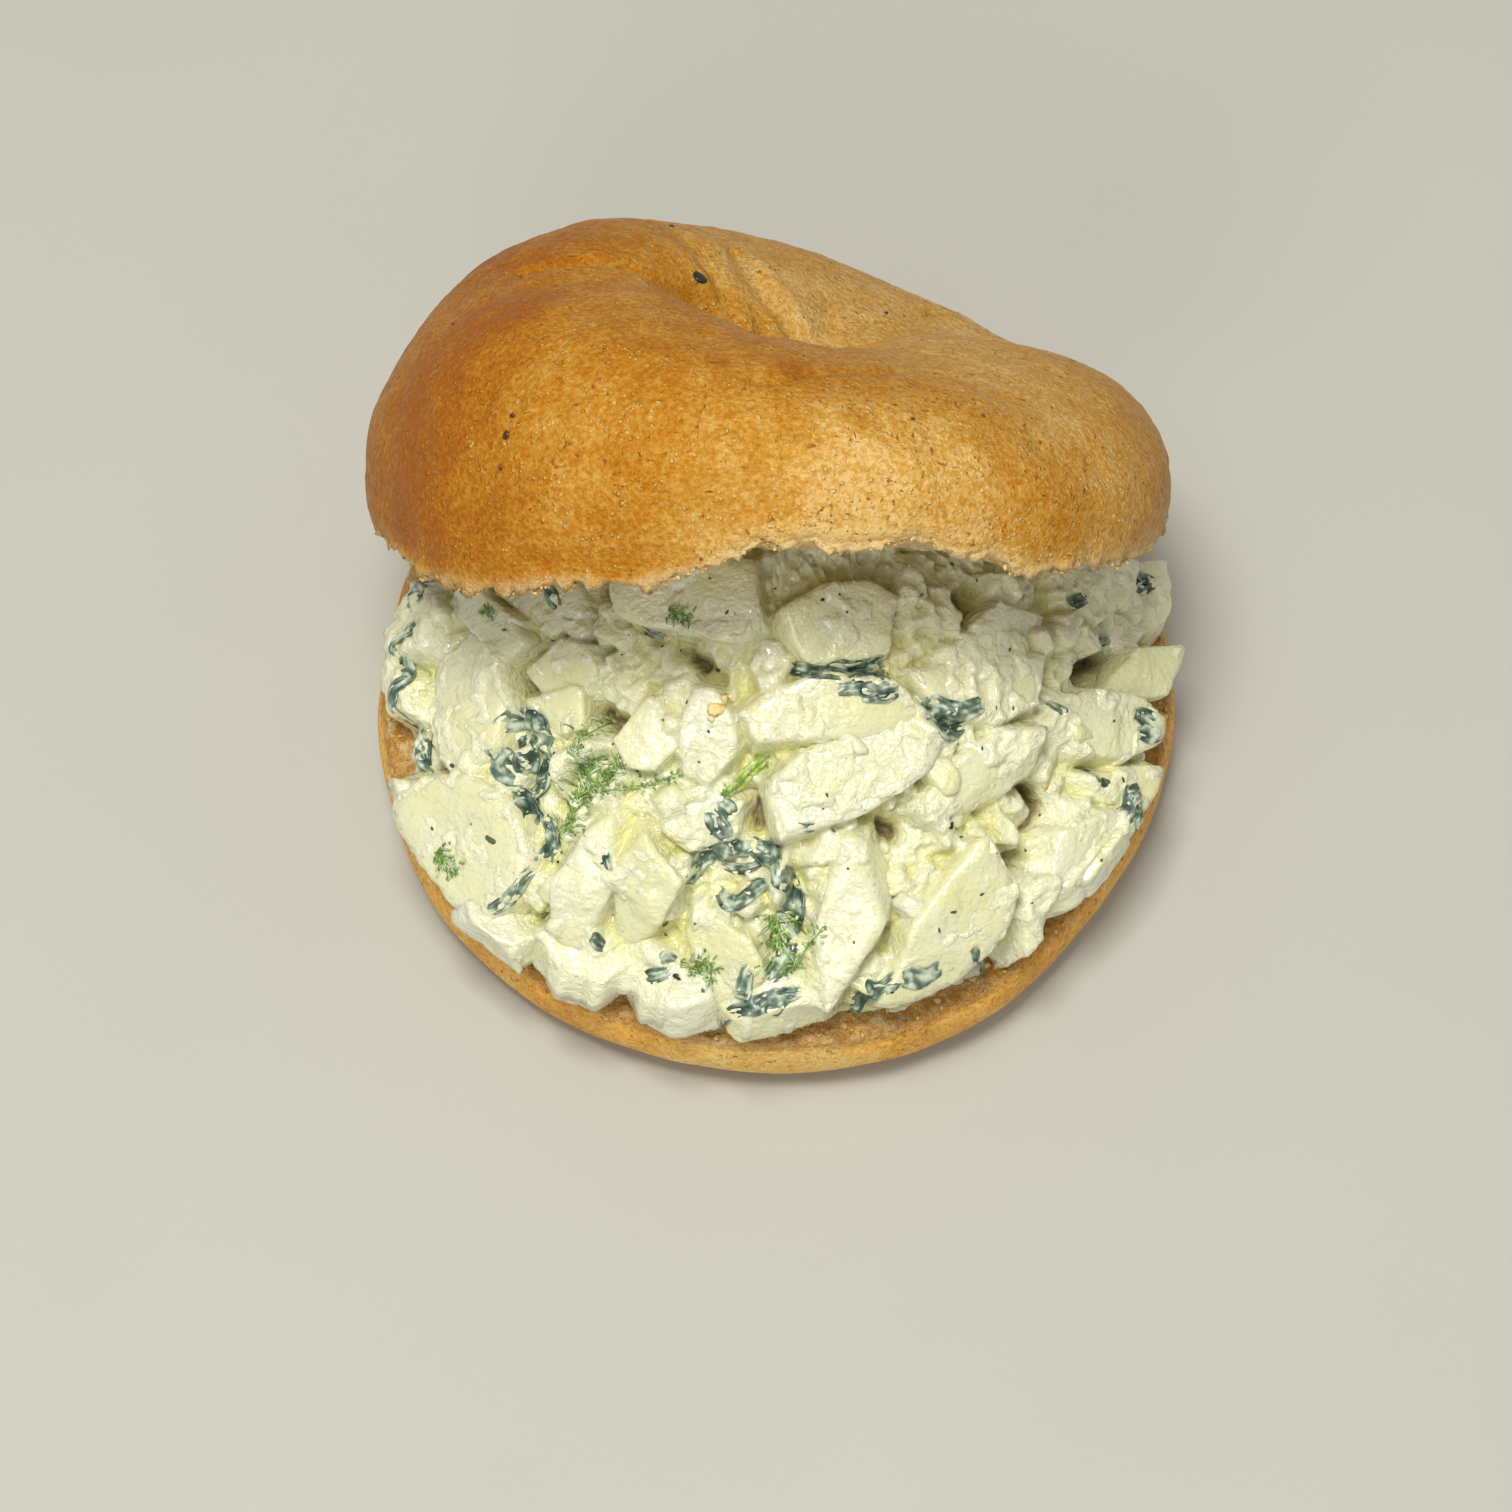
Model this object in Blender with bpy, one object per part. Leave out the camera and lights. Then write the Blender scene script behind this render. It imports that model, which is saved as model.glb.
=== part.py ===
"""Egg salad sandwich on a cut bagel, open like a clam.

The lower half lies flat. A heap of egg salad fills the wedge above it, and the
upper half leans back on the heap with its front edge raised. All lengths are in
metres. X runs to the right, Y to the back and Z up, from the surface the bagel
lies on.
"""
import math
from dataclasses import dataclass

import bmesh
import bpy
import numpy as np
from mathutils import Matrix, Vector
from mathutils.bvhtree import BVHTree

MM = 0.001
SEED = 11

# The whole sandwich is moved so that the middle of its box is over the origin
CENTRE_X = 0.4 * MM
CENTRE_Y = 3.6 * MM

# Clearance that touching foods keep
GAP = 0.3 * MM

# Lower half of the bagel
BOTTOM_RADIUS = 57.4 * MM
BOTTOM_CUT_Z = 15.0 * MM
BOTTOM_FOOT_INSET = 9.0 * MM
BOTTOM_EDGE_INSET = 1.4 * MM
BOTTOM_BULGE_AT = 0.62
BOTTOM_HOLE_CUT = 7.0 * MM
BOTTOM_HOLE_FOOT = 10.0 * MM
BOTTOM_STEPS_AROUND = 64

# Upper half of the bagel, measured in the plane of its cut face
TOP_RADIUS = 55.4 * MM
TOP_TILT = math.radians(43.5)
TOP_CENTRE_Y = 15.5 * MM
TOP_CENTRE_Z = 53.5 * MM
TOP_DROOP = 9.0 * MM
TOP_BULGE_HEIGHT = 6.5 * MM
TOP_EDGE_INSET = 1.3 * MM
TOP_CREST_RADIUS = 30.0 * MM
# Height over the cut face at each eighth of a turn, from the right towards the back
TOP_CREST_HEIGHTS = tuple(h * MM for h in (20.5, 14.2, 23.2, 31.0, 32.0, 30.5, 25.0, 21.5))
TOP_HOLE_RADIUS = 6.5 * MM
TOP_HOLE_FLARE = 2.0 * MM
TOP_THROAT_HEIGHT = 8.0 * MM
TOP_STEPS_AROUND = 90

# Torn stretch of the upper half's front edge
TORN_FROM = math.radians(-101.0)
TORN_TO = math.radians(-52.0)
TORN_LIFT = 4.2 * MM

# Lip that hangs below the cut plane to the left of the torn stretch
LIP_FROM = math.radians(-162.0)
LIP_TO = math.radians(-99.0)
LIP_DROP = 2.8 * MM

# Heap of salad
HEAP_APEX_X = 0.0 * MM
HEAP_APEX_Y = 12.0 * MM
HEAP_TOP_Z = 54.5 * MM
HEAP_EDGE_Z = 20.5 * MM
HEAP_EDGE_RADIUS = 51.5 * MM
HEAP_FALL = 1.9
HEAP_STEPS_AROUND = 48
PLUG_FOOT_Z = 1.6 * MM

BREAD_CRUST = (0.55, 0.27, 0.08, 1.0)
BREAD_CRUST_DARK = (0.50, 0.23, 0.065, 1.0)
SALAD_CREAM = (0.86, 0.83, 0.62, 1.0)


def remove_everything():
    """Start from an empty scene."""
    for item in list(bpy.data.objects):
        bpy.data.objects.remove(item)


def material(name, colour, roughness):
    """A plain dielectric surface."""
    made = bpy.data.materials.new(name)
    made.use_nodes = True
    shader = made.node_tree.nodes["Principled BSDF"]
    shader.inputs["Base Color"].default_value = colour
    shader.inputs["Roughness"].default_value = roughness
    shader.inputs["Metallic"].default_value = 0.0
    return made


def wave(angle, terms):
    """Sum of cosines round a ring; each term is (turns, height, phase in degrees)."""
    total = 0.0
    for turns, height, phase in terms:
        total += height * math.cos(turns * angle - math.radians(phase))
    return total


def smooth_window(value, low, high, soft):
    """1 between low and high, falling to 0 over the width soft on each side."""
    up = min(max((value - low) / soft, 0.0), 1.0)
    down = min(max((high - value) / soft, 0.0), 1.0)
    inside = min(up, down)
    return inside * inside * (3.0 - 2.0 * inside)


def ring_mesh(name, loops):
    """A closed ring from its cross-sections, each a closed loop of (x, y, z) points."""
    bm = bmesh.new()
    rows = [[bm.verts.new(point) for point in loop] for loop in loops]
    around = len(rows)
    across = len(rows[0])
    for i in range(around):
        here = rows[i]
        after = rows[(i + 1) % around]
        for j in range(across):
            k = (j + 1) % across
            bm.faces.new((here[j], here[k], after[k], after[j]))
    bmesh.ops.recalc_face_normals(bm, faces=bm.faces)
    bmesh.ops.triangulate(bm, faces=bm.faces)
    return finished(bm, name)


def finished(bm, name):
    """Turn the mesh under construction into an object."""
    mesh = bpy.data.meshes.new(name)
    bm.to_mesh(mesh)
    bm.free()
    made = bpy.data.objects.new(name, mesh)
    bpy.context.collection.objects.link(made)
    return made


def to_sandwich_frame(made):
    """Shift a finished solid from the lower half's own centre to the sandwich's origin."""
    made.data.transform(Matrix.Translation((-CENTRE_X, -CENTRE_Y, 0.0)))


def dress(made, surface, sharp_degrees):
    """Give a solid its material and round shading."""
    made.data.materials.clear()
    made.data.materials.append(surface)
    made.data.shade_smooth()
    made.data.set_sharp_from_angle(angle=math.radians(sharp_degrees))


def bottom_outline(angle):
    """Outer radius of the lower half at its widest."""
    return BOTTOM_RADIUS + wave(
        angle, ((2, 0.7 * MM, 20), (3, 0.5 * MM, 75), (5, 0.3 * MM, 10))
    )


def bottom_section(angle):
    """Cross-section of the lower half as (radius, height) points, clockwise."""
    widest = bottom_outline(angle)
    foot = widest - BOTTOM_FOOT_INSET
    hole_cut = BOTTOM_HOLE_CUT + wave(angle, ((2, 0.6 * MM, 50),))
    edge = widest - BOTTOM_EDGE_INSET
    points = []
    for share in (0.0, 0.35, 0.7, 0.93):
        points.append((hole_cut + (edge - hole_cut) * share, BOTTOM_CUT_Z))
    for share in (0.97, 0.85, 0.7, 0.52, 0.34, 0.18, 0.07, 0.0):
        if share > BOTTOM_BULGE_AT:
            past = (share - BOTTOM_BULGE_AT) / (1.0 - BOTTOM_BULGE_AT)
            radius = widest - BOTTOM_EDGE_INSET * past * past
        else:
            below = 1.0 - share / BOTTOM_BULGE_AT
            radius = foot + (widest - foot) * (1.0 - below**2.4) ** (1.0 / 2.4)
        points.append((radius, BOTTOM_CUT_Z * share))
    points.append((foot * 0.6, 0.0))
    points.append((BOTTOM_HOLE_FOOT + 2.5 * MM, 0.0))
    for share in (0.12, 0.4, 0.75):
        radius = hole_cut + (BOTTOM_HOLE_FOOT - hole_cut) * (1.0 - share) ** 2
        points.append((radius, BOTTOM_CUT_Z * share))
    return points


def bagel_bottom():
    """The lower half: a flat-footed ring with a level cut face."""
    loops = []
    for i in range(BOTTOM_STEPS_AROUND):
        angle = 2.0 * math.pi * i / BOTTOM_STEPS_AROUND
        direction = (math.cos(angle), math.sin(angle))
        loops.append(
            [(r * direction[0], r * direction[1], z) for r, z in bottom_section(angle)]
        )
    made = ring_mesh("bagel_bottom", loops)
    dress(made, material("crust_lower", BREAD_CRUST_DARK, 0.5), 40)
    return made


def top_outline(angle):
    """Outer radius of the upper half at its widest."""
    return TOP_RADIUS + wave(
        angle, ((2, 0.8 * MM, 0), (3, 0.7 * MM, 200), (5, 0.4 * MM, 80))
    )


def top_crest_height(angle):
    """Height of the upper half over its cut face: fat at the left, thin at the back right.

    The named heights are joined by a smooth periodic curve that passes through
    each of them, with a slope set by its two neighbours.
    """
    count = len(TOP_CREST_HEIGHTS)
    place = (angle % (2.0 * math.pi)) / (2.0 * math.pi) * count
    first = int(place) % count
    t = place - int(place)
    before, here, after, beyond = (TOP_CREST_HEIGHTS[(first + k) % count] for k in (-1, 0, 1, 2))
    slope_here = 0.5 * (after - before)
    slope_after = 0.5 * (beyond - here)
    return (
        here * (2.0 * t**3 - 3.0 * t**2 + 1.0)
        + slope_here * (t**3 - 2.0 * t**2 + t)
        + after * (3.0 * t**2 - 2.0 * t**3)
        + slope_after * (t**3 - t**2)
    )


def top_hole(angle):
    """Radius of the pinched hole in the upper half, with the pleats that run into it."""
    return TOP_HOLE_RADIUS + wave(
        angle, ((2, 1.4 * MM, 10), (7, 0.5 * MM, 40), (11, 0.35 * MM, 0))
    )


def torn_lift(angle):
    """How far the front edge stands back from the cut plane, ragged, and below 0 on the lip."""
    signed = (angle + math.pi) % (2.0 * math.pi) - math.pi
    torn = smooth_window(signed, TORN_FROM, TORN_TO, math.radians(7.0))
    teeth = wave(signed, ((31, 0.7 * MM, 0), (47, 0.5 * MM, 60)))
    everywhere = wave(signed, ((9, 0.5 * MM, 20), (17, 0.4 * MM, 100)))
    lip = smooth_window(signed, LIP_FROM, LIP_TO, math.radians(14.0)) * LIP_DROP
    rise = torn * (TORN_LIFT + teeth) + 0.6 * MM + everywhere
    return max(0.0, rise) - lip


def top_section(angle):
    """Cross-section of the upper half as (radius, height over the cut plane) points."""
    widest = top_outline(angle)
    crest = top_crest_height(angle)
    crest_radius = TOP_CREST_RADIUS + wave(angle, ((1, 2.0 * MM, 190), (2, 1.5 * MM, 90)))
    hole = top_hole(angle)
    lift = torn_lift(angle)
    edge = widest - TOP_EDGE_INSET
    mouth = hole + TOP_HOLE_FLARE
    points = [(mouth, 0.0), (mouth + (edge - mouth) * 0.4, 0.0), (edge - 9.0 * MM, 0.0)]
    points.append((edge - 3.0 * MM, lift * 0.45))
    bulge = max(TOP_BULGE_HEIGHT, lift + 2.5 * MM)
    for share in (0.0, 0.4, 0.75):
        height = lift + (bulge - lift) * share
        radius = widest - TOP_EDGE_INSET * (1.0 - share) ** 2
        points.append((radius, height))
    for degrees in (4, 20, 36, 52, 68, 84):
        turn = math.radians(degrees)
        radius = crest_radius + (widest - crest_radius) * math.cos(turn) ** 0.86
        points.append((radius, bulge + (crest - bulge) * math.sin(turn) ** 0.86))
    for degrees in (78, 60, 42, 24, 6):
        turn = math.radians(degrees)
        radius = crest_radius - (crest_radius - hole) * math.cos(turn) ** 0.9
        rise = (crest - TOP_THROAT_HEIGHT) * math.sin(turn) ** 0.9
        points.append((radius, TOP_THROAT_HEIGHT + rise))
    points.append((hole + TOP_HOLE_FLARE * 0.25, TOP_THROAT_HEIGHT * 0.5))
    return points


def droop(x):
    """How far the upper half sags off its cut plane, as its sides hang over the heap."""
    return TOP_DROOP * (x / TOP_RADIUS) ** 2


def from_top_plane(x, along, height):
    """Place a point given in the upper half's cut plane: across, backwards, outwards."""
    out = height - droop(x)
    y = TOP_CENTRE_Y + along * math.cos(TOP_TILT) + out * math.sin(TOP_TILT)
    z = TOP_CENTRE_Z - along * math.sin(TOP_TILT) + out * math.cos(TOP_TILT)
    return (x, y, z)


def bagel_top():
    """The upper half: a domed ring, fat at the left, leaning back on the salad."""
    loops = []
    for i in range(TOP_STEPS_AROUND):
        angle = 2.0 * math.pi * i / TOP_STEPS_AROUND
        cosine = math.cos(angle)
        sine = math.sin(angle)
        loops.append(
            [from_top_plane(r * cosine, r * sine, w) for r, w in top_section(angle)]
        )
    made = ring_mesh("bagel_top", loops)
    dress(made, material("crust_upper", BREAD_CRUST, 0.42), 40)
    return made


def ceiling(x, y):
    """Height of the upper half's cut face over a plan point."""
    flat = TOP_CENTRE_Z - (y - TOP_CENTRE_Y) * math.tan(TOP_TILT)
    return flat - droop(x) / math.cos(TOP_TILT)


def heap_edge(angle):
    """Distance of the heap's foot from the lower half's centre."""
    return HEAP_EDGE_RADIUS + wave(
        angle, ((3, 0.9 * MM, 260), (5, 0.8 * MM, 10), (8, 0.7 * MM, 90))
    )


def heap_point(share, angle):
    """A point of the heap's plan: share 0 at the apex and 1 on its foot."""
    edge = heap_edge(angle)
    x = HEAP_APEX_X + share * (edge * math.cos(angle) - HEAP_APEX_X)
    y = HEAP_APEX_Y + share * (edge * math.sin(angle) - HEAP_APEX_Y)
    return x, y


def heap_height(share, x, y):
    """Height of the heap's bare core, kept under the upper half."""
    free = HEAP_EDGE_Z + (HEAP_TOP_Z - HEAP_EDGE_Z) * (1.0 - share**HEAP_FALL)
    return min(free, ceiling(x, y) - 2.0 * GAP / math.cos(TOP_TILT))


def heap_share(x, y):
    """The share of a plan point, found by closing in on the foot in its direction."""
    reach_x = x - HEAP_APEX_X
    reach_y = y - HEAP_APEX_Y
    length = math.hypot(reach_x, reach_y)
    if length < 1e-9:
        return 0.0
    low = 0.0
    high = 0.2
    for _ in range(40):
        middle = 0.5 * (low + high)
        px = HEAP_APEX_X + reach_x / length * middle
        py = HEAP_APEX_Y + reach_y / length * middle
        if math.hypot(px, py) < heap_edge(math.atan2(py, px)):
            low = middle
        else:
            high = middle
    return length / low


def heap_surface(x, y):
    """Point and outward direction of the core's top over the plan point."""
    step = 0.5 * MM

    def height(px, py):
        return heap_height(min(heap_share(px, py), 1.0), px, py)

    slope_x = (height(x + step, y) - height(x - step, y)) / (2.0 * step)
    slope_y = (height(x, y + step) - height(x, y - step)) / (2.0 * step)
    return Vector((x, y, height(x, y))), Vector((-slope_x, -slope_y, 1.0)).normalized()


def heap_core():
    """The bare heap: a rounded hill with a foot that curls under to the bread."""
    bm = bmesh.new()
    shares = (0.2, 0.4, 0.6, 0.78, 0.92, 1.0)
    floor_z = BOTTOM_CUT_Z + GAP
    rows = []
    for share in shares:
        row = []
        for i in range(HEAP_STEPS_AROUND):
            angle = 2.0 * math.pi * i / HEAP_STEPS_AROUND
            x, y = heap_point(share, angle)
            row.append(bm.verts.new((x, y, max(heap_height(share, x, y), floor_z + 1.2 * MM))))
        rows.append(row)
    for scale, rise in ((1.012, 0.55), (0.995, 0.18), (0.965, 0.0), (0.6, 0.0)):
        row = []
        for i in range(HEAP_STEPS_AROUND):
            angle = 2.0 * math.pi * i / HEAP_STEPS_AROUND
            x, y = heap_point(1.0, angle)
            top = rows[len(shares) - 1][i].co.z
            row.append(bm.verts.new((x * scale, y * scale, floor_z + (top - floor_z) * rise)))
        rows.append(row)
    for inner, outer in zip(rows, rows[1:]):
        for i in range(HEAP_STEPS_AROUND):
            k = (i + 1) % HEAP_STEPS_AROUND
            bm.faces.new((inner[i], inner[k], outer[k], outer[i]))
    apex = bm.verts.new((HEAP_APEX_X, HEAP_APEX_Y, heap_height(0.0, HEAP_APEX_X, HEAP_APEX_Y)))
    root = bm.verts.new((0.0, 0.0, floor_z))
    for i in range(HEAP_STEPS_AROUND):
        k = (i + 1) % HEAP_STEPS_AROUND
        bm.faces.new((apex, rows[0][i], rows[0][k]))
        bm.faces.new((root, rows[-1][k], rows[-1][i]))
    bmesh.ops.recalc_face_normals(bm, faces=bm.faces)
    bmesh.ops.triangulate(bm, faces=bm.faces)
    return finished(bm, "heap_core")


def heap_plug():
    """Salad pressed into the lower half's hole."""
    bm = bmesh.new()
    steps = 20
    heights = (PLUG_FOOT_Z, 0.12 * BOTTOM_CUT_Z, 0.4 * BOTTOM_CUT_Z, 0.75 * BOTTOM_CUT_Z,
               BOTTOM_CUT_Z + 6.0 * MM)
    rows = []
    for z in heights:
        share = min(z / BOTTOM_CUT_Z, 1.0)
        flare = (BOTTOM_HOLE_FOOT - BOTTOM_HOLE_CUT) * (1.0 - share) ** 2
        radius = BOTTOM_HOLE_CUT - 1.3 * MM + 0.8 * flare
        rows.append([
            bm.verts.new((radius * math.cos(2.0 * math.pi * i / steps),
                          radius * math.sin(2.0 * math.pi * i / steps), z))
            for i in range(steps)
        ])
    for lower, upper in zip(rows, rows[1:]):
        for i in range(steps):
            k = (i + 1) % steps
            bm.faces.new((lower[i], lower[k], upper[k], upper[i]))
    bm.faces.new(list(reversed(rows[0])))
    bm.faces.new(rows[-1])
    bmesh.ops.recalc_face_normals(bm, faces=bm.faces)
    bmesh.ops.triangulate(bm, faces=bm.faces)
    return finished(bm, "heap_plug")


@dataclass(frozen=True)
class Piece:
    """A chopped piece of egg, with lengths in millimetres and angles in degrees.

    x, y: where its middle stands over the plan
    lift: how far its middle stands out of the bare core
    size: length, width and thickness
    turn: direction of its length, from the right towards the back
    pitch, roll: how far its length and its width are raised from the heap's slope
    square: 0 for a pebble, 1 for a box with cut faces
    taper: how much narrower its far end is, 0 to 1
    """

    x: float
    y: float
    lift: float
    size: tuple
    turn: float
    pitch: float = 0.0
    roll: float = 0.0
    square: float = 0.6
    taper: float = 0.0


PIECES = (
    Piece(-40, -28, 3.4, (19, 18, 8), 20, 4, -4, 0.1),
    Piece(-39, -12, 2.8, (18, 11, 9), 95, 0, 0, 0.4, 0.25),
    Piece(-20, -37, 3.6, (19, 17, 9), 10, 0, 6, 0.75, 0.6),
    Piece(-36, -3, 3.2, (14, 5, 7), -36, 4, 0, 0.5),
    Piece(-11, -4, 2.4, (20, 15, 9), 5, 0, 0, 0.5, 0.2),
    Piece(8, -8, 3.0, (17, 12, 9), 190, 0, 6, 0.8, 0.55),
    Piece(25, -8, 2.8, (16, 13, 9), 15, 0, 0, 0.8, 0.2),
    Piece(8, -19, 3.6, (27, 10, 9), 15, 4, 0, 0.8, 0.3),
    Piece(9, -28, 3.4, (26, 10, 9), 25, 0, 4, 0.8, 0.3),
    Piece(26, -25, 3.2, (25, 8, 8), 26, 0, 0, 0.5, 0.2),
    Piece(41, -15, 3.2, (14, 11, 9), 75, 4, 0, 0.85, 0.2),
    Piece(49, -4, 2.6, (13, 8, 7), 12, 4, 0, 0.7, 0.7),
    Piece(51, 8, 2.6, (12, 10, 10), 70, 0, 0, 0.5),
    Piece(9, -42, 3.8, (22, 12, 10), 98, 0, 4, 0.95, 0.1),
    Piece(22, -40, 4.2, (28, 15, 11), 69, 0, 0, 0.2, 0.1),
    Piece(31, -37, 2.8, (23, 9, 9), 80, 0, 0, 0.5),
    Piece(44, -28, 3.2, (21, 7, 8), 55, 6, 0, 0.85, 0.3),
    Piece(-38, -41, 2.6, (11, 8, 8), -60, -6, 0, 0.85, 0.5),
    Piece(-28, -46, 2.6, (15, 10, 9), -15, 0, 0, 0.6),
    Piece(-18, -49, 2.8, (13, 11, 9), 70, 0, 0, 0.6, 0.2),
    Piece(-3, -51, 2.8, (13, 10, 9), 20, 0, 0, 0.8, 0.3),
    Piece(-50, -3, 2.4, (10, 6, 8), 80, 0, 0, 0.5),
    Piece(-9, -22, 3.4, (12, 9, 9), -70, 4, 0, 0.8, 0.2),
    Piece(-26, -14, 2.8, (13, 11, 8), 20, 0, 0, 0.6),
    Piece(-17, -20, 2.8, (13, 9, 8), 100, 0, 0, 0.75, 0.4),
    Piece(-4, -14, 2.4, (12, 8, 7), 20, 0, 0, 0.6),
    Piece(-48, 6, 2.6, (13, 11, 10), 60, 0, 0, 0.5),
    Piece(-30, 0, 2.4, (12, 9, 8), 10, 0, 0, 0.6),
    Piece(-7, -43, 2.8, (12, 11, 8), 30, 0, 0, 0.7, 0.4),
    Piece(3, -48, 2.6, (11, 8, 8), 80, 0, 0, 0.7),
    Piece(35, -31, 2.8, (15, 9, 8), 75, 0, 0, 0.4),
    Piece(42, -22, 2.6, (13, 11, 8), 30, 0, 0, 0.6, 0.3),
    Piece(49, -13, 2.6, (11, 9, 9), 110, 0, 0, 0.6),
    Piece(51, -20, 2.2, (10, 6, 8), 60, 0, 0, 0.8, 0.3),
    Piece(41, 2, 2.6, (15, 11, 9), 15, 0, 0, 0.6),
    Piece(26, 2, 2.4, (14, 10, 8), 5, 0, 0, 0.6),
    Piece(13, 1, 2.2, (13, 10, 8), 170, 0, 0, 0.7),
    Piece(24, -48, 2.4, (15, 9, 8), 20, 0, 0, 0.4),
    Piece(33, -44, 2.2, (10, 8, 8), 60, 0, 0, 0.5),
    Piece(-46, -33, 2.2, (11, 7, 7), -40, 0, 0, 0.6),
    Piece(-49, -21, 2.0, (9, 7, 8), 90, 0, 0, 0.5),
    Piece(-32, -40, 2.4, (13, 9, 8), -25, 0, 0, 0.6),
    Piece(-27, -26, 2.6, (13, 10, 8), 60, 0, 0, 0.5),
)


@dataclass(frozen=True)
class Shred:
    """A shred of green leaf lying on the heap, in millimetres and degrees.

    x, y: where its middle lies over the plan
    length, width: of the shred
    turn: its direction at the middle, from the right towards the back
    bend: how far it turns along its length
    """

    x: float
    y: float
    length: float
    width: float
    turn: float
    bend: float


SHREDS = (
    Shred(-33, -19, 11, 2.4, -70, 150),
    Shred(-31, -27, 10, 2.2, -75, -60),
    Shred(-3, -35, 14, 2.6, -10, -110),
    Shred(3, -42, 9, 2.4, -95, 30),
    Shred(16, -15, 9, 2.4, 10, 60),
    Shred(31, -17, 9, 2.6, -20, -120),
    Shred(52, -16, 8, 2.2, -10, 30),
    Shred(48, -28, 7, 2.0, 60, 60),
    Shred(16, -52, 8, 2.0, 15, 20),
    Shred(-3, -52, 9, 2.4, 28, 20),
    Shred(-50, -9, 9, 2.0, 85, 30),
)


def piece_corners(piece, index):
    """Corner points of a piece about its own middle.

    Points spread evenly over a ball are drawn towards a box by raising each
    ordinate to a power below 1, jittered, scaled to the piece's size and
    narrowed along its length by the taper.
    """
    rng = np.random.default_rng(SEED + index)
    count = 22 if index < len(PIECES) else 12
    power = 1.0 - 0.72 * piece.square
    step = np.arange(count) + 0.5
    rise = 1.0 - 2.0 * step / count
    turn = math.pi * (1.0 + math.sqrt(5.0)) * step
    flat = np.sqrt(1.0 - rise**2)
    ball = np.stack((flat * np.cos(turn), flat * np.sin(turn), rise), axis=1)
    ball = np.sign(ball) * np.abs(ball) ** power
    ball /= np.maximum(np.abs(ball).max(axis=0), 1e-9)
    ball *= 1.0 + rng.uniform(-0.1, 0.1, (count, 3))
    ball[:, 1] *= 1.0 - piece.taper * 0.5 * (ball[:, 0] + 1.0)
    half = 0.5 * MM * np.array(piece.size)
    return [Vector(corner) for corner in ball * half]


def piece_axes(piece, normal):
    """Turning matrix of a piece lying on a slope with the given outward direction."""
    along = Vector((math.cos(math.radians(piece.turn)), math.sin(math.radians(piece.turn)), 0.0))
    along = (along - normal * along.dot(normal)).normalized()
    side = normal.cross(along)
    base = Matrix((along, side, normal)).transposed()
    pitch = Matrix.Rotation(math.radians(-piece.pitch), 3, "Y")
    roll = Matrix.Rotation(math.radians(piece.roll), 3, "X")
    return base @ pitch @ roll


def settled(points):
    """Move a piece down from the upper half or up off the bread; None where neither fits."""
    floor_z = BOTTOM_CUT_Z + GAP + 0.1 * MM
    room = 1.5 * GAP / math.cos(TOP_TILT)
    drop = max(0.0, max(point.z - ceiling(point.x, point.y) + room for point in points))
    rise = max(0.0, floor_z - min(point.z for point in points) + drop)
    if drop > 0.0 and rise > 0.0:
        return None
    return [point + Vector((0.0, 0.0, rise - drop)) for point in points]


def egg_piece(piece, index):
    """One piece of egg lying in the heap, or None where the bagel leaves no room for it."""
    middle, normal = heap_surface(piece.x * MM, piece.y * MM)
    axes = piece_axes(piece, normal)
    middle = middle + normal * (piece.lift * MM - 0.5 * piece.size[2] * MM * 0.35)
    corners = settled([axes @ point + middle for point in piece_corners(piece, index)])
    if corners is None:
        return None
    bm = bmesh.new()
    for point in corners:
        bm.verts.new(point)
    made = bmesh.ops.convex_hull(bm, input=bm.verts)
    loose = [item for item in made["geom_interior"] if isinstance(item, bmesh.types.BMVert)]
    bmesh.ops.delete(bm, geom=loose, context="VERTS")
    bmesh.ops.recalc_face_normals(bm, faces=bm.faces)
    bmesh.ops.triangulate(bm, faces=bm.faces)
    return finished(bm, f"egg_{index}")


def scattered_pieces():
    """Smaller pieces all round the heap's sides and back, from a seeded draw."""
    rng = np.random.default_rng(SEED)
    made = []
    for i in range(40):
        angle = math.radians(0.0 + 180.0 * i / 39.0) + rng.uniform(-0.04, 0.04)
        share = rng.uniform(0.8, 1.0)
        x, y = heap_point(share, angle)
        length = rng.uniform(7.0, 12.0)
        made.append(Piece(
            x / MM, y / MM, rng.uniform(1.0, 2.2),
            (length, length * rng.uniform(0.6, 0.8), length * rng.uniform(0.45, 0.6)),
            rng.uniform(0.0, 180.0), rng.uniform(-12.0, 12.0), rng.uniform(-12.0, 12.0),
            rng.uniform(0.3, 0.9), rng.uniform(0.0, 0.4),
        ))
    return made


def shells(bm):
    """The mesh's faces in groups that are joined edge to edge."""
    left = set(bm.faces)
    groups = []
    while left:
        edge_of_group = [left.pop()]
        group = list(edge_of_group)
        while edge_of_group:
            face = edge_of_group.pop()
            near = {other for edge in face.edges for other in edge.link_faces} & left
            left -= near
            edge_of_group += near
            group += near
        groups.append(group)
    return groups


def signed_volume(faces):
    """Volume inside a closed group of faces, below 0 for a hollow."""
    total = 0.0
    for face in faces:
        first, *others = [vert.co for vert in face.verts]
        for second, third in zip(others, others[1:]):
            total += first.dot(second.cross(third)) / 6.0
    return total


def keep_outer_shell(mesh):
    """Fill the hollows that a union sealed and drop its loose scraps."""
    bm = bmesh.new()
    bm.from_mesh(mesh)
    bmesh.ops.triangulate(bm, faces=bm.faces)
    groups = shells(bm)
    largest = max(groups, key=signed_volume)
    spare = [face for group in groups if group is not largest for face in group]
    bmesh.ops.delete(bm, geom=spare, context="FACES")
    bm.to_mesh(mesh)
    bm.free()


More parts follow.
